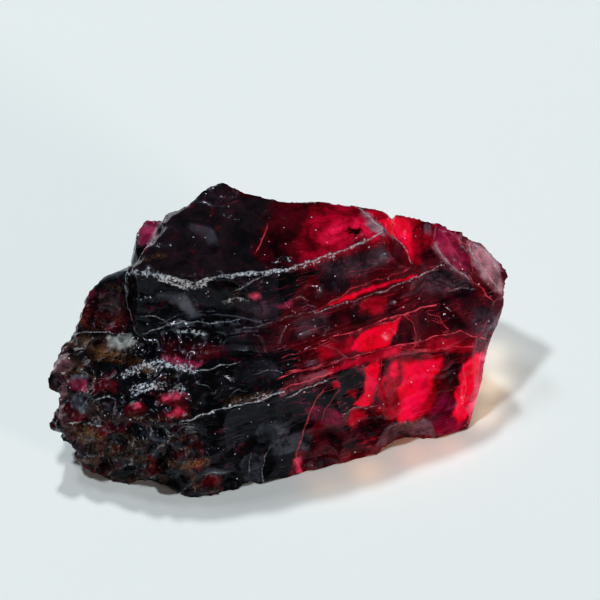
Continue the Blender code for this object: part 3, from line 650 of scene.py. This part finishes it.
# On the weathered end each knob has a skin of its own, by its number, and a pale broken rim. Higher
# up the end is black between the parts that show in the photograph.
KNOB_KINDS = {
    "black_glass": (0.00, 0.30),
    "dark_maroon": (0.30, 0.54),
    "dull_skin": (0.54, 0.84),
    "end_red": (0.84, 0.92),
    "faint_sheen_and_grey_knobs": (0.92, 1.00),
}
KNOBBY_BELOW_Z = 3.4
KNOBBY_EDGE = 0.2
KNOB_GAP = 0.5
ON_END = 0.4
BLACK_BETWEEN = 1.5
RIM_ACROSS = (0.11, 0.02)
knob_depth = np.minimum(in_knob / 2 / MM_PER_PIXEL - KNOB_GAP, DEEP)
for name, (lowest, highest) in KNOB_KINDS.items():
    of_kind = (kind_of_knob >= lowest) & (kind_of_knob < highest) & (end > ON_END)
    of_kind &= (name == "black_glass") | (points[:, 2] < KNOBBY_BELOW_Z)
    depths[name] = np.where(of_kind, np.maximum(depths[name], knob_depth), depths[name])
depths["black_glass"] = np.maximum(depths["black_glass"], np.where(end > ON_END, BLACK_BETWEEN, -DEEP))
knob_rim = end * ramp(in_knob, *RIM_ACROSS) * ramp(clouds(0.9, 54), -0.3, 0.3)
knob_rim *= ramp(points[:, 2], KNOBBY_BELOW_Z + KNOBBY_EDGE, KNOBBY_BELOW_Z - KNOBBY_EDGE)

# Rust stains: a route in the photograph's pixels, how wide it is, and how thick the rust lies.
RUSTY = [
    ([(147, 259), (158, 258), (168, 257)], 5.0, 0.9),
    ([(98, 352), (120, 355), (140, 361), (152, 366)], 11.0, 1.0),
    ([(86, 428), (100, 436), (116, 446)], 18.0, 0.8),
    ([(136, 415), (165, 415), (193, 411)], 3.5, 0.7),
    ([(128, 431), (136, 436)], 8.0, 0.6),
    ([(176, 458), (192, 459), (209, 457)], 8.0, 0.9),
    ([(140, 455), (150, 458), (160, 460)], 9.0, 0.4),
    ([(84, 318), (90, 328)], 9.0, 0.6),
    ([(110, 286), (122, 290)], 5.0, 0.45),
    ([(228, 400), (250, 396), (270, 391)], 7.0, 0.55),
    ([(228, 302), (240, 300), (248, 304)], 5.0, 0.5),
    ([(58, 385), (62, 400), (60, 412)], 8.0, 0.3),
    ([(398, 426), (408, 422), (419, 417)], 4.0, 0.5),
    ([(240, 292), (232, 298), (240, 302)], 4.0, 0.5),
]
STAIN_EDGE = 2.0
HOLLOW_ACROSS = (0.22, 0.04)
HOLLOW_RUST = 0.4
END_FROST = 0.35
rust_marks = most([streak(route, width, STAIN_EDGE) * share for route, width, share in RUSTY])
in_hollow = HOLLOW_RUST * ramp(in_knob, *HOLLOW_ACROSS) * ramp(clouds(1.2, 51), -0.1, 0.7)
rust = np.maximum(rust_marks, end * in_hollow)
frost = np.maximum(frost, end * END_FROST * ramp(clouds(0.5, 52), 0.45, 1.0))

# Thin lines on the shown side, each a route and a strength. The crushed lips of the ledges and the
# scratches are pale on black stone, and rosy on clear stone, which lets the red through. A few pale
# lines are painted reflections: streaks along the right end's facets and arcs on a curved face low
# in front. The cracks are dark, and so are the painted shaded edges of the chips.
PALE_LINES = [
    ([(147, 333), (163, 327), (186, 321), (212, 322), (240, 319)], 1.0),
    ([(131, 262), (129, 280), (130, 300), (136, 324), (147, 338)], 0.45),
    ([(147, 316), (160, 317), (171, 322)], 0.4),
    ([(196, 371), (214, 366), (239, 361)], 0.55),
    ([(187, 418), (206, 411), (228, 405), (262, 397), (284, 388)], 0.9),
    ([(78, 419), (90, 418), (104, 422)], 0.8),
    ([(257, 372), (268, 368), (282, 370)], 0.3),
    ([(234, 391), (240, 386), (246, 388)], 0.25),
    ([(198, 372), (202, 381), (212, 385)], 0.25),
    ([(180, 427), (190, 421), (199, 423)], 0.2),
    ([(184, 432), (193, 427), (203, 429)], 0.15),
    ([(272, 440), (266, 452), (264, 476)], 0.3),
    ([(252, 452), (251, 462), (250, 470)], 0.25),
    ([(315, 313), (340, 304), (367, 296), (394, 287), (409, 280), (424, 273), (436, 266)], 0.75),
    ([(346, 205), (353, 207), (363, 215), (376, 227), (390, 238), (400, 246), (406, 256),
      (409, 264)], 0.6),
    ([(291, 300), (298, 297), (305, 300)], 0.25),
    ([(303, 308), (309, 305), (315, 308)], 0.25),
    ([(238, 291), (252, 283), (271, 275)], 0.55),
    ([(228, 302), (238, 298), (249, 302)], 0.7),
    ([(134, 273), (164, 276), (189, 281), (203, 285), (217, 277), (249, 273), (284, 271), (315, 261),
      (344, 251), (370, 240), (379, 235)], 0.9),
    ([(290, 394), (305, 386), (323, 379)], 0.6),
    ([(240, 328), (262, 326), (284, 318), (314, 311)], 0.35),
    ([(433, 246), (439, 257), (449, 267), (466, 280)], 0.5),
    ([(341, 411), (356, 405), (370, 405)], 0.35),
    ([(78, 333), (100, 331), (130, 333)], 0.6),
    ([(104, 397), (112, 394), (121, 398), (120, 408)], 0.5),
    ([(207, 473), (214, 467), (228, 468)], 0.35),
    ([(447, 291), (458, 288), (470, 289)], 0.35),
    ([(470, 245), (480, 251), (490, 261), (496, 274)], 0.5),
    ([(465, 246), (469, 255), (477, 266), (487, 279), (496, 291)], 0.6),
    ([(438, 231), (447, 233), (456, 241), (462, 250)], 0.35),
]
ROSY_LINES = [
    ([(464, 243), (474, 254), (482, 266), (489, 281)], 0.55),
    ([(472, 246), (484, 257), (493, 270)], 0.4),
    ([(452, 234), (462, 246), (468, 260), (470, 272)], 0.55),
    ([(440, 232), (446, 243), (455, 257)], 0.35),
    ([(320, 340), (346, 333), (383, 319), (416, 309), (433, 304)], 1.0),
    ([(390, 345), (418, 340), (439, 334), (459, 331), (466, 334), (475, 336), (482, 338)], 0.9),
    ([(320, 309), (351, 289), (376, 280), (407, 269)], 0.7),
    ([(290, 369), (330, 363), (360, 353), (390, 345)], 0.7),
    ([(467, 278), (477, 288), (487, 299)], 0.8),
    ([(402, 315), (411, 322), (415, 333), (412, 344)], 0.55),
    ([(426, 313), (437, 317), (444, 329)], 0.4),
    ([(433, 322), (440, 324)], 0.6),
    ([(323, 387), (312, 405), (303, 429), (297, 452)], 0.42),
    ([(338, 388), (327, 402), (318, 424)], 0.22),
    ([(398, 347), (420, 349), (450, 346)], 0.4),
    ([(380, 360), (378, 372), (374, 392)], 0.3),
    ([(284, 356), (309, 348), (332, 343)], 0.35),
    ([(296, 456), (302, 466)], 0.7),
    ([(460, 368), (463, 380), (461, 396)], 0.5),
    ([(478, 352), (474, 378), (467, 404)], 0.5),
    ([(484, 322), (474, 338), (470, 352)], 0.4),
    ([(258, 252), (264, 240), (268, 228)], 0.7),
    ([(280, 376), (310, 365), (345, 357), (372, 349)], 0.8),
    ([(284, 386), (306, 379), (330, 371)], 0.8),
    ([(400, 352), (430, 350), (452, 346), (470, 346)], 0.6),
    ([(459, 362), (461, 376), (458, 392), (462, 406)], 0.5),
    ([(350, 334), (374, 325), (398, 318)], 0.6),
]
DARK_LINES = [
    ([(379, 361), (378, 372), (376, 386), (373, 402)], 1.0),
    ([(352, 404), (362, 405), (372, 402), (384, 404)], 0.8),
    ([(389, 357), (412, 353), (440, 351), (462, 349)], 0.7),
    ([(316, 317), (330, 327), (345, 331)], 0.5),
    ([(423, 221), (413, 231), (411, 241)], 0.9),
    ([(390, 225), (396, 238), (405, 250)], 0.5),
    ([(360, 300), (366, 308), (364, 316)], 0.5),
    ([(270, 224), (262, 240), (266, 256)], 0.5),
    ([(300, 214), (322, 218), (340, 214)], 0.5),
    ([(298, 232), (312, 226), (326, 224)], 0.5),
    ([(318, 250), (336, 246), (350, 238)], 0.5),
]
LINE_REACH = (5.0, 3.0)
line_sides, line_shares = {}, {}
LINE_KINDS = {"dark_line": DARK_LINES, "pale_line": PALE_LINES, "rosy_line": ROSY_LINES}
for name, lines in LINE_KINDS.items():
    side, share = np.full(len(shown), FAR), np.zeros(len(shown))
    for route, strength in lines:
        this = beside(route)
        nearer = np.abs(this) < np.abs(side)
        side, share = np.where(nearer, this, side), np.where(nearer, strength, share)
    line_sides[name], line_shares[name] = np.full(len(points), DEEP), np.zeros(len(points))
    line_sides[name][shown] = np.clip(side, -DEEP, DEEP)
    line_shares[name][shown] = share * ramp(np.abs(side), *LINE_REACH)
    line_shares[name] *= facing

# The finished mesh, in metres, with all of these marks as numbers at its corners. What touches the
# ground stays flat.
GROUND_REACH = 0.05
SHARP_ANGLE = math.radians(28.0)
finished = points + outward * relief[:, None]
on_ground = points[:, 2] < GROUND_REACH
finished[:, 2] = np.maximum(np.where(on_ground, points[:, 2], finished[:, 2]), 0.0)
stone_mesh.vertices.foreach_set("co", (finished * MM).ravel())
stone_mesh.update()
stone_mesh.shade_smooth()
stone_mesh.set_sharp_from_angle(angle=SHARP_ANGLE)
marks = {**depths, "rust": rust, "frost": frost, "striae": front * (1.0 - end), "knob_rim": knob_rim}
marks.update({f"{name}_side": side for name, side in line_sides.items()})
marks.update({f"{name}_share": share for name, share in line_shares.items()})
for name, values in marks.items():
    stone_mesh.attributes.new(name, "FLOAT", "POINT").data.foreach_set("value", values.astype(np.float32))
stone = bpy.data.objects.new("garnet_stone", stone_mesh)
bpy.context.scene.collection.objects.link(stone)
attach(stone, "root")
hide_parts("garnet")


# Garnet as broken gem rough. The eye gets a glassy surface with strong reflections, light that turns
# deeper red the further it has come through, nearly black parts where cracks and inclusions stop it,
# white frost on crushed edges and rust-brown dust in the hollows. Its brightest reds, rosy glints
# and grey sheens are painted light in its colour.
def linear(sheet_colour):
    """An sRGB hex colour as the linear colour that a shader takes."""
    shares = [int(sheet_colour[place : place + 2], 16) / 255 for place in (1, 3, 5)]
    return tuple(s / 12.92 if s <= 0.04045 else ((s + 0.055) / 1.055) ** 2.4 for s in shares) + (1.0,)


def add_node(tree, kind, settings, inputs, output=0):
    """Adds a shader node with its settings, gives its inputs their values or the outputs to link
    from, and returns one of its own outputs, the first unless another is named."""
    made = tree.nodes.new("ShaderNode" + kind)
    for name, value in settings.items():
        setattr(made, name, value)
    for name, value in inputs.items():
        if isinstance(value, bpy.types.NodeSocket):
            tree.links.new(value, made.inputs[name])
        else:
            made.inputs[name].default_value = value
    return made.outputs[output]


GARNET_IOR = 1.77
MIRROR_LEVEL = 0.13
MIRROR_TINT = "#EEF4FF"
CLEAR_TINT = "#7A0C22"
CLEAR_BODY = 0.40
FROST = "#F6FBFF"
FROST_SHADED = "#5E666E"
FROST_HAZE = "#464A52"
RUST_BROWN = "#3E2418"
OCHRE = "#8E6A40"
# Pale lines are crushed lips, scratches and some painted reflection streaks; dark lines are cracks and
# painted shade on chip edges.
PALE_LIP_AND_SHEEN = "#C9CFD3"
ROSY_LIP = "#F2606E"
DARK_CRACK_AND_SHADE = "#2C0410"
GREY_STRIA = "#5E626A"
ROSY_STRIA = "#F04060"
ABSORBED_AS = "#F85094"
ABSORPTION = 560.0

garnet = bpy.data.materials.new("garnet_gem_rough")
garnet.use_nodes = True
tree = garnet.node_tree
shader = tree.nodes["Principled BSDF"]
place = add_node(tree, "TexCoord", {}, {}, "Object")

# A Mix node's inputs go by number: 0 is the share of the second, 2 and 3 are two numbers, and 6 and 7
# are two colours. Its output 2 is the mixed colour.
SMOOTH = {"interpolation_type": "SMOOTHSTEP"}
COLOURS = {"data_type": "RGBA"}

# The patterns, by the size of their forms in mm, how much detail they have, how rough it is and how
# distorted. Crumbs of rust are about 0.1 mm across. Veils of inclusions are some 1.3 mm wide, darker
# inclusions half that, and the borders between the crystal's parts are ragged by a third of a veil.
# Crushed edges break in clumps of half a millimetre, and their grains are drawn at 0.16 mm, coarser
# than the real ones, so that they show.
NOISES = {
    "grain": (0.10, 3.0, 0.60, 0.0),
    "veil": (1.3, 8.0, 0.66, 0.4),
    "ragged": (0.45, 5.0, 0.65, 0.0),
    "inclusion": (0.6, 6.0, 0.70, 0.0),
    "clump": (0.5, 2.0, 0.50, 0.0),
    "crush": (0.16, 5.0, 0.72, 0.0),
}
noises = {}
for name, (size, detail, roughness, distortion) in NOISES.items():
    look = {"Detail": detail, "Roughness": roughness, "Distortion": distortion}
    noises[name] = add_node(tree, "TexNoise", {}, {"Vector": place, "Scale": 1 / (size * MM), **look})
grain = noises["grain"]

# Where on its noise each mask starts and is full, and the least and the most that it gives: veils,
# darker inclusions, how crushed an edge is, how dulled a face is, crumbs of rust, and the pale film on
# the knobs' rims.
MASKS = {
    "veil": ("veil", (0.34, 0.66), (0.0, 1.0)),
    "dimmed": ("inclusion", (0.34, 0.56), (0.64, 1.0)),
    "crushed": ("clump", (0.36, 0.60), (0.45, 1.0)),
    "dulled": ("clump", (0.36, 0.56), (0.0, 0.18)),
    "crumbs": ("grain", (0.66, 0.34), (0.0, 0.80)),
    "film": ("grain", (0.42, 0.64), (0.0, 0.40)),
}
masks = {}
for name, (source, (starts, full), (least, greatest)) in MASKS.items():
    span = {"From Min": starts, "From Max": full, "To Min": least, "To Max": greatest}
    masks[name] = add_node(tree, "MapRange", SMOOTH, {"Value": noises[source], **span})
veil = masks["veil"]
WAVER = {"From Min": 0.3, "From Max": 0.7, "To Min": -1.0}
waver = add_node(tree, "MapRange", {"clamp": False}, {"Value": noises["ragged"], **WAVER})

# Each of the parts lies over those before it, ragged by the waver, and varies between its
# two colours by the veils. The painted grey sheen's share is kept, because its surface is satin.
colour, body = linear(CLEAR_TINT), CLEAR_BODY
for name, (deep, bright, own_body, half_border, raggedness, _) in PARTS.items():
    depth = add_node(tree, "Attribute", {"attribute_name": name}, {}, "Fac")
    depth = add_node(tree, "Math", {"operation": "MULTIPLY_ADD"}, {0: waver, 1: raggedness, 2: depth})
    border = {"From Min": -half_border, "From Max": half_border}
    share = add_node(tree, "MapRange", SMOOTH, {"Value": depth, **border})
    own = add_node(tree, "Mix", COLOURS, {0: veil, 6: linear(deep), 7: linear(bright)}, 2)
    colour = add_node(tree, "Mix", COLOURS, {0: share, 6: colour, 7: own}, 2)
    body = add_node(tree, "Mix", {"data_type": "FLOAT"}, {0: share, 2: body, 3: own_body})
    if name == "painted_grey_sheen":
        satin = share
darken = {**COLOURS, "blend_type": "MULTIPLY"}
colour = add_node(tree, "Mix", darken, {0: 1.0, 6: colour, 7: masks["dimmed"]}, 2)

# Very fine steps run with the stone's length over the front faces, some 0.3 mm apart and several mm
# long. They catch the light in grey on the dark stone and in rose on the clear.
STRIA_SPACING = (9.0, 0.30, 0.30)
STRIA_ACROSS = {"From Min": 0.016, "From Max": 0.003, "To Max": 0.35}
TO_CLEAR = {"From Min": -2.0 * MM, "From Max": 2.0 * MM}
per_metre = tuple(1 / (spacing * MM) for spacing in STRIA_SPACING)
stretched = add_node(tree, "Mapping", {}, {"Vector": place, "Scale": per_metre})
stria = add_node(tree, "TexNoise", {}, {"Vector": stretched, "Scale": 1.0, "Detail": 2.0, "Roughness": 0.6})
stria = add_node(tree, "Math", {"operation": "SUBTRACT"}, {0: stria, 1: 0.5})
stria = add_node(tree, "Math", {"operation": "ABSOLUTE"}, {0: stria})
stria = add_node(tree, "MapRange", SMOOTH, {"Value": stria, **STRIA_ACROSS})
on_front = add_node(tree, "Attribute", {"attribute_name": "striae"}, {}, "Fac")
for factor in (on_front, veil):
    stria = add_node(tree, "Math", {"operation": "MULTIPLY"}, {0: stria, 1: factor})
along_stone = add_node(tree, "SeparateXYZ", {}, {0: place})
to_clear = add_node(tree, "MapRange", {}, {"Value": along_stone, **TO_CLEAR})
stria_colour = add_node(tree, "Mix", COLOURS, {0: to_clear, 6: linear(GREY_STRIA), 7: linear(ROSY_STRIA)}, 2)
colour = add_node(tree, "Mix", COLOURS, {0: stria, 6: colour, 7: stria_colour}, 2)

# The thin lines are a pixel or two wide, and broken where the edge that they follow isn't crushed:
# the colour of each kind, and the least of it that shows in its gaps.
LINES = (("dark_line", DARK_CRACK_AND_SHADE, 0.8), ("rosy_line", ROSY_LIP, 0.75), ("pale_line", PALE_LIP_AND_SHEEN, 0.20))
LINE_ACROSS = {"From Min": 1.0, "From Max": 0.25}
LINE_GAPS = {"From Min": 0.40, "From Max": 0.60}
LINE_WAVER = 0.45
for name, lip_colour, least in LINES:
    side = add_node(tree, "Attribute", {"attribute_name": f"{name}_side"}, {}, "Fac")
    strength = add_node(tree, "Attribute", {"attribute_name": f"{name}_share"}, {}, "Fac")
    apart = add_node(tree, "Math", {"operation": "MULTIPLY_ADD"}, {0: waver, 1: LINE_WAVER, 2: side})
    apart = add_node(tree, "Math", {"operation": "ABSOLUTE"}, {0: apart})
    share = add_node(tree, "MapRange", SMOOTH, {"Value": apart, **LINE_ACROSS})
    broken = add_node(tree, "MapRange", SMOOTH, {"Value": grain, **LINE_GAPS, "To Min": least})
    for factor in (strength, broken, masks["crushed"]):
        share = add_node(tree, "Math", {"operation": "MULTIPLY"}, {0: share, 1: factor})
    colour = add_node(tree, "Mix", COLOURS, {0: share, 6: colour, 7: linear(lip_colour)}, 2)
    body = add_node(tree, "Math", {"operation": "MAXIMUM"}, {0: body, 1: share})

# Knobs of the weathered end are rimmed with a pale film, broken like the ledges' lips. Rust lies in
# the hollows as crumbs, brown where thick and ochre where thin.
rim_here = add_node(tree, "Attribute", {"attribute_name": "knob_rim"}, {}, "Fac")
film = add_node(tree, "Math", {"operation": "MULTIPLY"}, {0: masks["film"], 1: rim_here})
colour = add_node(tree, "Mix", COLOURS, {0: film, 6: colour, 7: linear(PALE_LIP_AND_SHEEN)}, 2)
rust_here = add_node(tree, "Attribute", {"attribute_name": "rust"}, {}, "Fac")
crumbs = add_node(tree, "Math", {"operation": "MULTIPLY"}, {0: rust_here, 1: masks["crumbs"]})
rust_colour = add_node(tree, "Mix", COLOURS, {0: veil, 6: linear(RUST_BROWN), 7: linear(OCHRE)}, 2)
colour = add_node(tree, "Mix", COLOURS, {0: crumbs, 6: colour, 7: rust_colour}, 2)

# Frost is a haze with single grains in it, more of them where an edge is more crushed. A few fine
# specks, each about 0.1 mm across and of its own strength, are strewn over every face.
CRUSH_REACH = 0.25
CRUSH_GRAINS = {"From Min": 0.67, "From Max": 0.78}
HAZE = 0.32
SPECK_SIZE = 0.10
SPECK_SHAPE = {"From Min": 0.55, "From Max": 0.30}
STREWN = 0.006
frost_here = add_node(tree, "Attribute", {"attribute_name": "frost"}, {}, "Fac")
crush = {0: frost_here, 1: CRUSH_REACH, 2: noises["crush"]}
crush = add_node(tree, "Math", {"operation": "MULTIPLY_ADD"}, crush)
crush = add_node(tree, "MapRange", SMOOTH, {"Value": crush, **CRUSH_GRAINS})
speck = add_node(tree, "TexVoronoi", {}, {"Vector": place, "Scale": 1 / (SPECK_SIZE * MM)}, "Distance")
speck_shape = add_node(tree, "MapRange", SMOOTH, {"Value": speck, **SPECK_SHAPE})
speck_number = add_node(tree, "SeparateColor", {}, {0: speck.node.outputs["Color"]})
strewn = add_node(tree, "Math", {"operation": "LESS_THAN"}, {0: speck_number, 1: STREWN})
for factor in (speck_shape, speck_number.node.outputs[1]):
    strewn = add_node(tree, "Math", {"operation": "MULTIPLY"}, {0: strewn, 1: factor})
grains = add_node(tree, "Math", {"operation": "MAXIMUM"}, {0: crush, 1: strewn})
frost_colour = add_node(tree, "Mix", COLOURS, {0: grain, 6: linear(FROST_SHADED), 7: linear(FROST)}, 2)
haze = add_node(tree, "Math", {"operation": "MULTIPLY"}, {0: frost_here, 1: HAZE})
colour = add_node(tree, "Mix", COLOURS, {0: haze, 6: colour, 7: linear(FROST_HAZE)}, 2)
colour = add_node(tree, "Mix", COLOURS, {0: grains, 6: colour, 7: frost_colour}, 2)

# Crusts of frost and rust are rough and stop the light. The rest is as smooth as broken glass, apart
# from the satin of the painted grey sheen and some dulled places on the front.
GLOSSY = 0.07
SATIN = 0.26
CRUSTY = 0.50
CRUST_BUMP = 0.8
GLASS_BUMP = 0.14
BUMP_HEIGHT = 0.02
crust = add_node(tree, "Math", {"operation": "MAXIMUM"}, {0: grains, 1: crumbs})
body = add_node(tree, "Math", {"operation": "MAXIMUM"}, {0: body, 1: crust})
clear_share = add_node(tree, "Math", {"operation": "SUBTRACT", "use_clamp": True}, {0: 1.0, 1: body})
gloss = add_node(tree, "Math", {"operation": "MULTIPLY_ADD"}, {0: satin, 1: SATIN - GLOSSY, 2: GLOSSY})
gloss = add_node(tree, "Math", {"operation": "MULTIPLY_ADD"}, {0: crust, 1: CRUSTY, 2: gloss})
dulled = add_node(tree, "Math", {"operation": "MULTIPLY"}, {0: masks["dulled"], 1: on_front})
gloss = add_node(tree, "Math", {"operation": "ADD", "use_clamp": True}, {0: gloss, 1: dulled})
bump = add_node(tree, "Math", {"operation": "MULTIPLY_ADD"}, {0: crust, 1: CRUST_BUMP, 2: GLASS_BUMP})
bump = {"Height": grain, "Distance": BUMP_HEIGHT * MM, "Strength": bump}
bump = add_node(tree, "Bump", {}, bump)
tree.links.new(colour, shader.inputs["Base Color"])
tree.links.new(clear_share, shader.inputs["Transmission Weight"])
tree.links.new(gloss, shader.inputs["Roughness"])
tree.links.new(bump, shader.inputs["Normal"])
shader.inputs["IOR"].default_value = GARNET_IOR
shader.inputs["Specular IOR Level"].default_value = MIRROR_LEVEL
shader.inputs["Specular Tint"].default_value = linear(MIRROR_TINT)
inside_red = {"Color": linear(ABSORBED_AS), "Density": ABSORPTION}
inside_red = add_node(tree, "VolumeAbsorption", {}, inside_red)
tree.links.new(inside_red, tree.nodes["Material Output"].inputs["Volume"])
stone_mesh.materials.clear()
stone_mesh.materials.append(garnet)

# The paper under the stone: plain white drawing paper with a faint tooth, whose fibres and pits are
# drawn about half a millimetre wide. It is dull, so the eye gets a soft white with no reflections.
PAPER = "#EBF1EE"
PAPER_SIZE = 0.6
PAPER_GAP = 0.02
PAPER_DULL = 0.9
TOOTH_SIZE = 0.5
TOOTH_HEIGHT = 0.05
TOOTH_STRENGTH = 0.12
sheet = bmesh.new()
bmesh.ops.create_grid(sheet, x_segments=1, y_segments=1, size=PAPER_SIZE)
bmesh.ops.translate(sheet, vec=(0, 0, -PAPER_GAP * MM), verts=sheet.verts)
paper_mesh = bpy.data.meshes.new("paper")
sheet.to_mesh(paper_mesh)
sheet.free()
paper = bpy.data.objects.new("paper", paper_mesh)
bpy.context.scene.collection.objects.link(paper)
white = bpy.data.materials.new("white_drawing_paper")
white.use_nodes = True
weave = white.node_tree
paper_shader = weave.nodes["Principled BSDF"]
paper_shader.inputs["Base Color"].default_value = linear(PAPER)
paper_shader.inputs["Roughness"].default_value = PAPER_DULL
tooth = {"Vector": add_node(weave, "TexCoord", {}, {}, "Object"), "Scale": 1 / (TOOTH_SIZE * MM)}
tooth = add_node(weave, "TexNoise", {}, {**tooth, "Detail": 4.0, "Roughness": 0.6})
tooth = {"Height": tooth, "Distance": TOOTH_HEIGHT * MM, "Strength": TOOTH_STRENGTH}
tooth = add_node(weave, "Bump", {}, tooth)
weave.links.new(tooth, paper_shader.inputs["Normal"])
paper_mesh.materials.append(white)

# Daylight from windows on the left and the back, in a room that is dim elsewhere. Three wide lamps
# stand for the windows and give the stone its soft shadows, and a low warm one on the front right
# lights what is inside the clear end. These are kept out of the glassy faces, where the glints, which
# light nothing else, show as small bright spots. Each is the way to the lamp, how far it is and how
# wide, in metres, its colour, its watts and its part.
LIGHTS = {
    "left_window": ((-0.38, 0.30, 1.00), 1.6, 0.18, "#EFF4FA", 11.2, "lights"),
    "middle_window": ((-0.26, 0.80, 1.00), 1.6, 0.30, "#EFF4FA", 4.6, "lights"),
    "back_window": ((0.20, 0.89, 1.00), 1.6, 0.15, "#F2F6FA", 14.2, "lights"),
    "front_fill": ((0.50, -0.80, 0.08), 0.8, 0.16, "#FFF0EA", 5.6, "lights"),
    "back_left_glint": ((-0.46, 0.44, 0.78), 0.8, 0.040, "#FFFFFF", 0.60, "mirrored"),
    "front_left_glint": ((-0.55, -0.55, 0.62), 0.8, 0.024, "#FFFFFF", 0.22, "mirrored"),
    "front_glint": ((0.10, -0.80, 0.60), 0.8, 0.024, "#FFFFFF", 0.22, "mirrored"),
    "right_glint": ((0.70, 0.10, 0.70), 0.8, 0.024, "#FFFFFF", 0.22, "mirrored"),
    "left_glint": ((-0.85, -0.05, 0.52), 0.8, 0.024, "#FFFFFF", 0.22, "mirrored"),
}


def hang_lamp(name, at, width, hue, watts):
    """Hangs a round lamp that looks straight down, which neither the camera nor the glass sees."""
    lamp = bpy.data.objects.new(name, bpy.data.lights.new(name, "AREA"))
    bpy.context.scene.collection.objects.link(lamp)
    lamp.location = at
    lamp.data.shape = "DISK"
    lamp.data.size = width
    lamp.data.energy = watts
    lamp.data.color = linear(hue)[:3]
    lamp.visible_glossy = False
    lamp.visible_transmission = False
    lamp.visible_camera = False
    return lamp


for name, (way_to, distance, width, hue, watts, part_played) in LIGHTS.items():
    way_to = Vector(way_to).normalized()
    lamp = hang_lamp(name, way_to * distance, width, hue, watts)
    lamp.rotation_euler = (-way_to).to_track_quat("-Z", "Y").to_euler()
    lamp.visible_glossy = part_played == "mirrored"
    lamp.visible_diffuse = part_played == "lights"

# Light that the stone gathers and throws on the paper beside and below its clear end, warm from its
# way through the garnet. Small lamps just above the paper stand for it: the pixel that each hangs
# over, its height and width in mm, its colour and its watts.
GLOWS = {
    "glow_beside_rim": ((491, 354), 0.9, 1.2, "#FFE8D2", 0.0000060),
    "glow_beside_end": ((487, 384), 1.1, 1.4, "#FFE2C8", 0.0000150),
    "glow_beside_foot": ((480, 414), 1.0, 1.4, "#FFDCC0", 0.0000090),
    "glow_below_end": ((448, 444), 1.0, 1.2, "#FF9C68", 0.0000040),
    "glow_below_clear": ((412, 452), 1.1, 1.4, "#FF9460", 0.0000060),
    "glow_below_front": ((366, 468), 1.0, 1.4, "#F8A454", 0.0000056),
    "glow_below_middle": ((322, 482), 0.9, 1.4, "#E09850", 0.0000026),
}
right_and_up = np.array([[photo_right.x, photo_right.y], [photo_up.x, photo_up.y]])
for name, (pixel, height, width, hue, watts) in GLOWS.items():
    shift = (np.array(pixel) - ANCHOR_PIXEL) * (1.0, -1.0) * MM_PER_PIXEL
    spot = np.linalg.solve(right_and_up, shift) + np.array(ANCHOR)[:2]
    hang_lamp(name, Vector((*spot, height)) * MM, width * MM, hue, watts)

# The room as the stone mirrors and gathers it: dim all round, with bright patches on the back left
# and the front left, a faint wall on the left, a bright strip low behind the stone, which lights the
# clear end from behind, and a faint wall on the right. The paper takes no light from it. Each is a
# direction, the cosines from it where the patch starts and is full, its colour and its strength.
DIM = (0.045, 0.048, 0.052, 1.0)
ROOM_WALLS = [
    ((-0.42, 0.40, 0.82), (0.93, 0.99), "#F0F6FF", 1.9),
    ((-0.45, -0.70, 0.55), (0.93, 0.995), "#EAF2FF", 0.8),
    ((-0.7, -0.1, 0.7), (0.45, 1.0), "#EAF2FF", 0.14),
    ((0.0, 1.0, 0.12), (0.88, 0.98), "#FFFFFF", 2.6),
    ((0.9, -0.3, 0.5), (0.6, 1.0), "#EAF2FF", 0.35),
]
room = bpy.data.worlds.new("room")
room.use_nodes = True
air = room.node_tree
way = add_node(air, "TexCoord", {}, {}, "Generated")
add_light = {**COLOURS, "blend_type": "ADD", "clamp_result": False}
light = DIM
for direction, (starts, full), hue, strength in ROOM_WALLS:
    nearness = {0: way, 1: Vector(direction).normalized()}
    nearness = add_node(air, "VectorMath", {"operation": "DOT_PRODUCT"}, nearness, "Value")
    share = add_node(air, "MapRange", SMOOTH, {"Value": nearness, "From Min": starts, "From Max": full})
    shade = tuple(channel * strength for channel in linear(hue)[:3]) + (1.0,)
    light = add_node(air, "Mix", add_light, {0: share, 6: light, 7: shade}, 2)
air.links.new(light, air.nodes["Background"].inputs["Color"])
air.nodes["Background"].inputs["Strength"].default_value = 1.0
bpy.context.scene.world = room
room.cycles_visibility.diffuse = False

# How the picture is taken: a plain view with a little more contrast in the darks, as a phone gives,
# and enough bounces for light to come through the clear end and out again.
CONTRAST = [(0.02, 0.009), (0.06, 0.045), (0.25, 0.25), (0.75, 0.77)]
ALL_CHANNELS = 3
MOST_BOUNCES = 16
THROUGH_GLASS = 12
view = bpy.context.scene.view_settings
view.view_transform = "Standard"
view.use_curve_mapping = True
for at, value in CONTRAST:
    view.curve_mapping.curves[ALL_CHANNELS].points.new(at, value)
view.curve_mapping.update()
cycles = bpy.context.scene.cycles
cycles.use_denoising = True
cycles.max_bounces = MOST_BOUNCES
cycles.transmission_bounces = THROUGH_GLASS
cycles.caustics_refractive = True
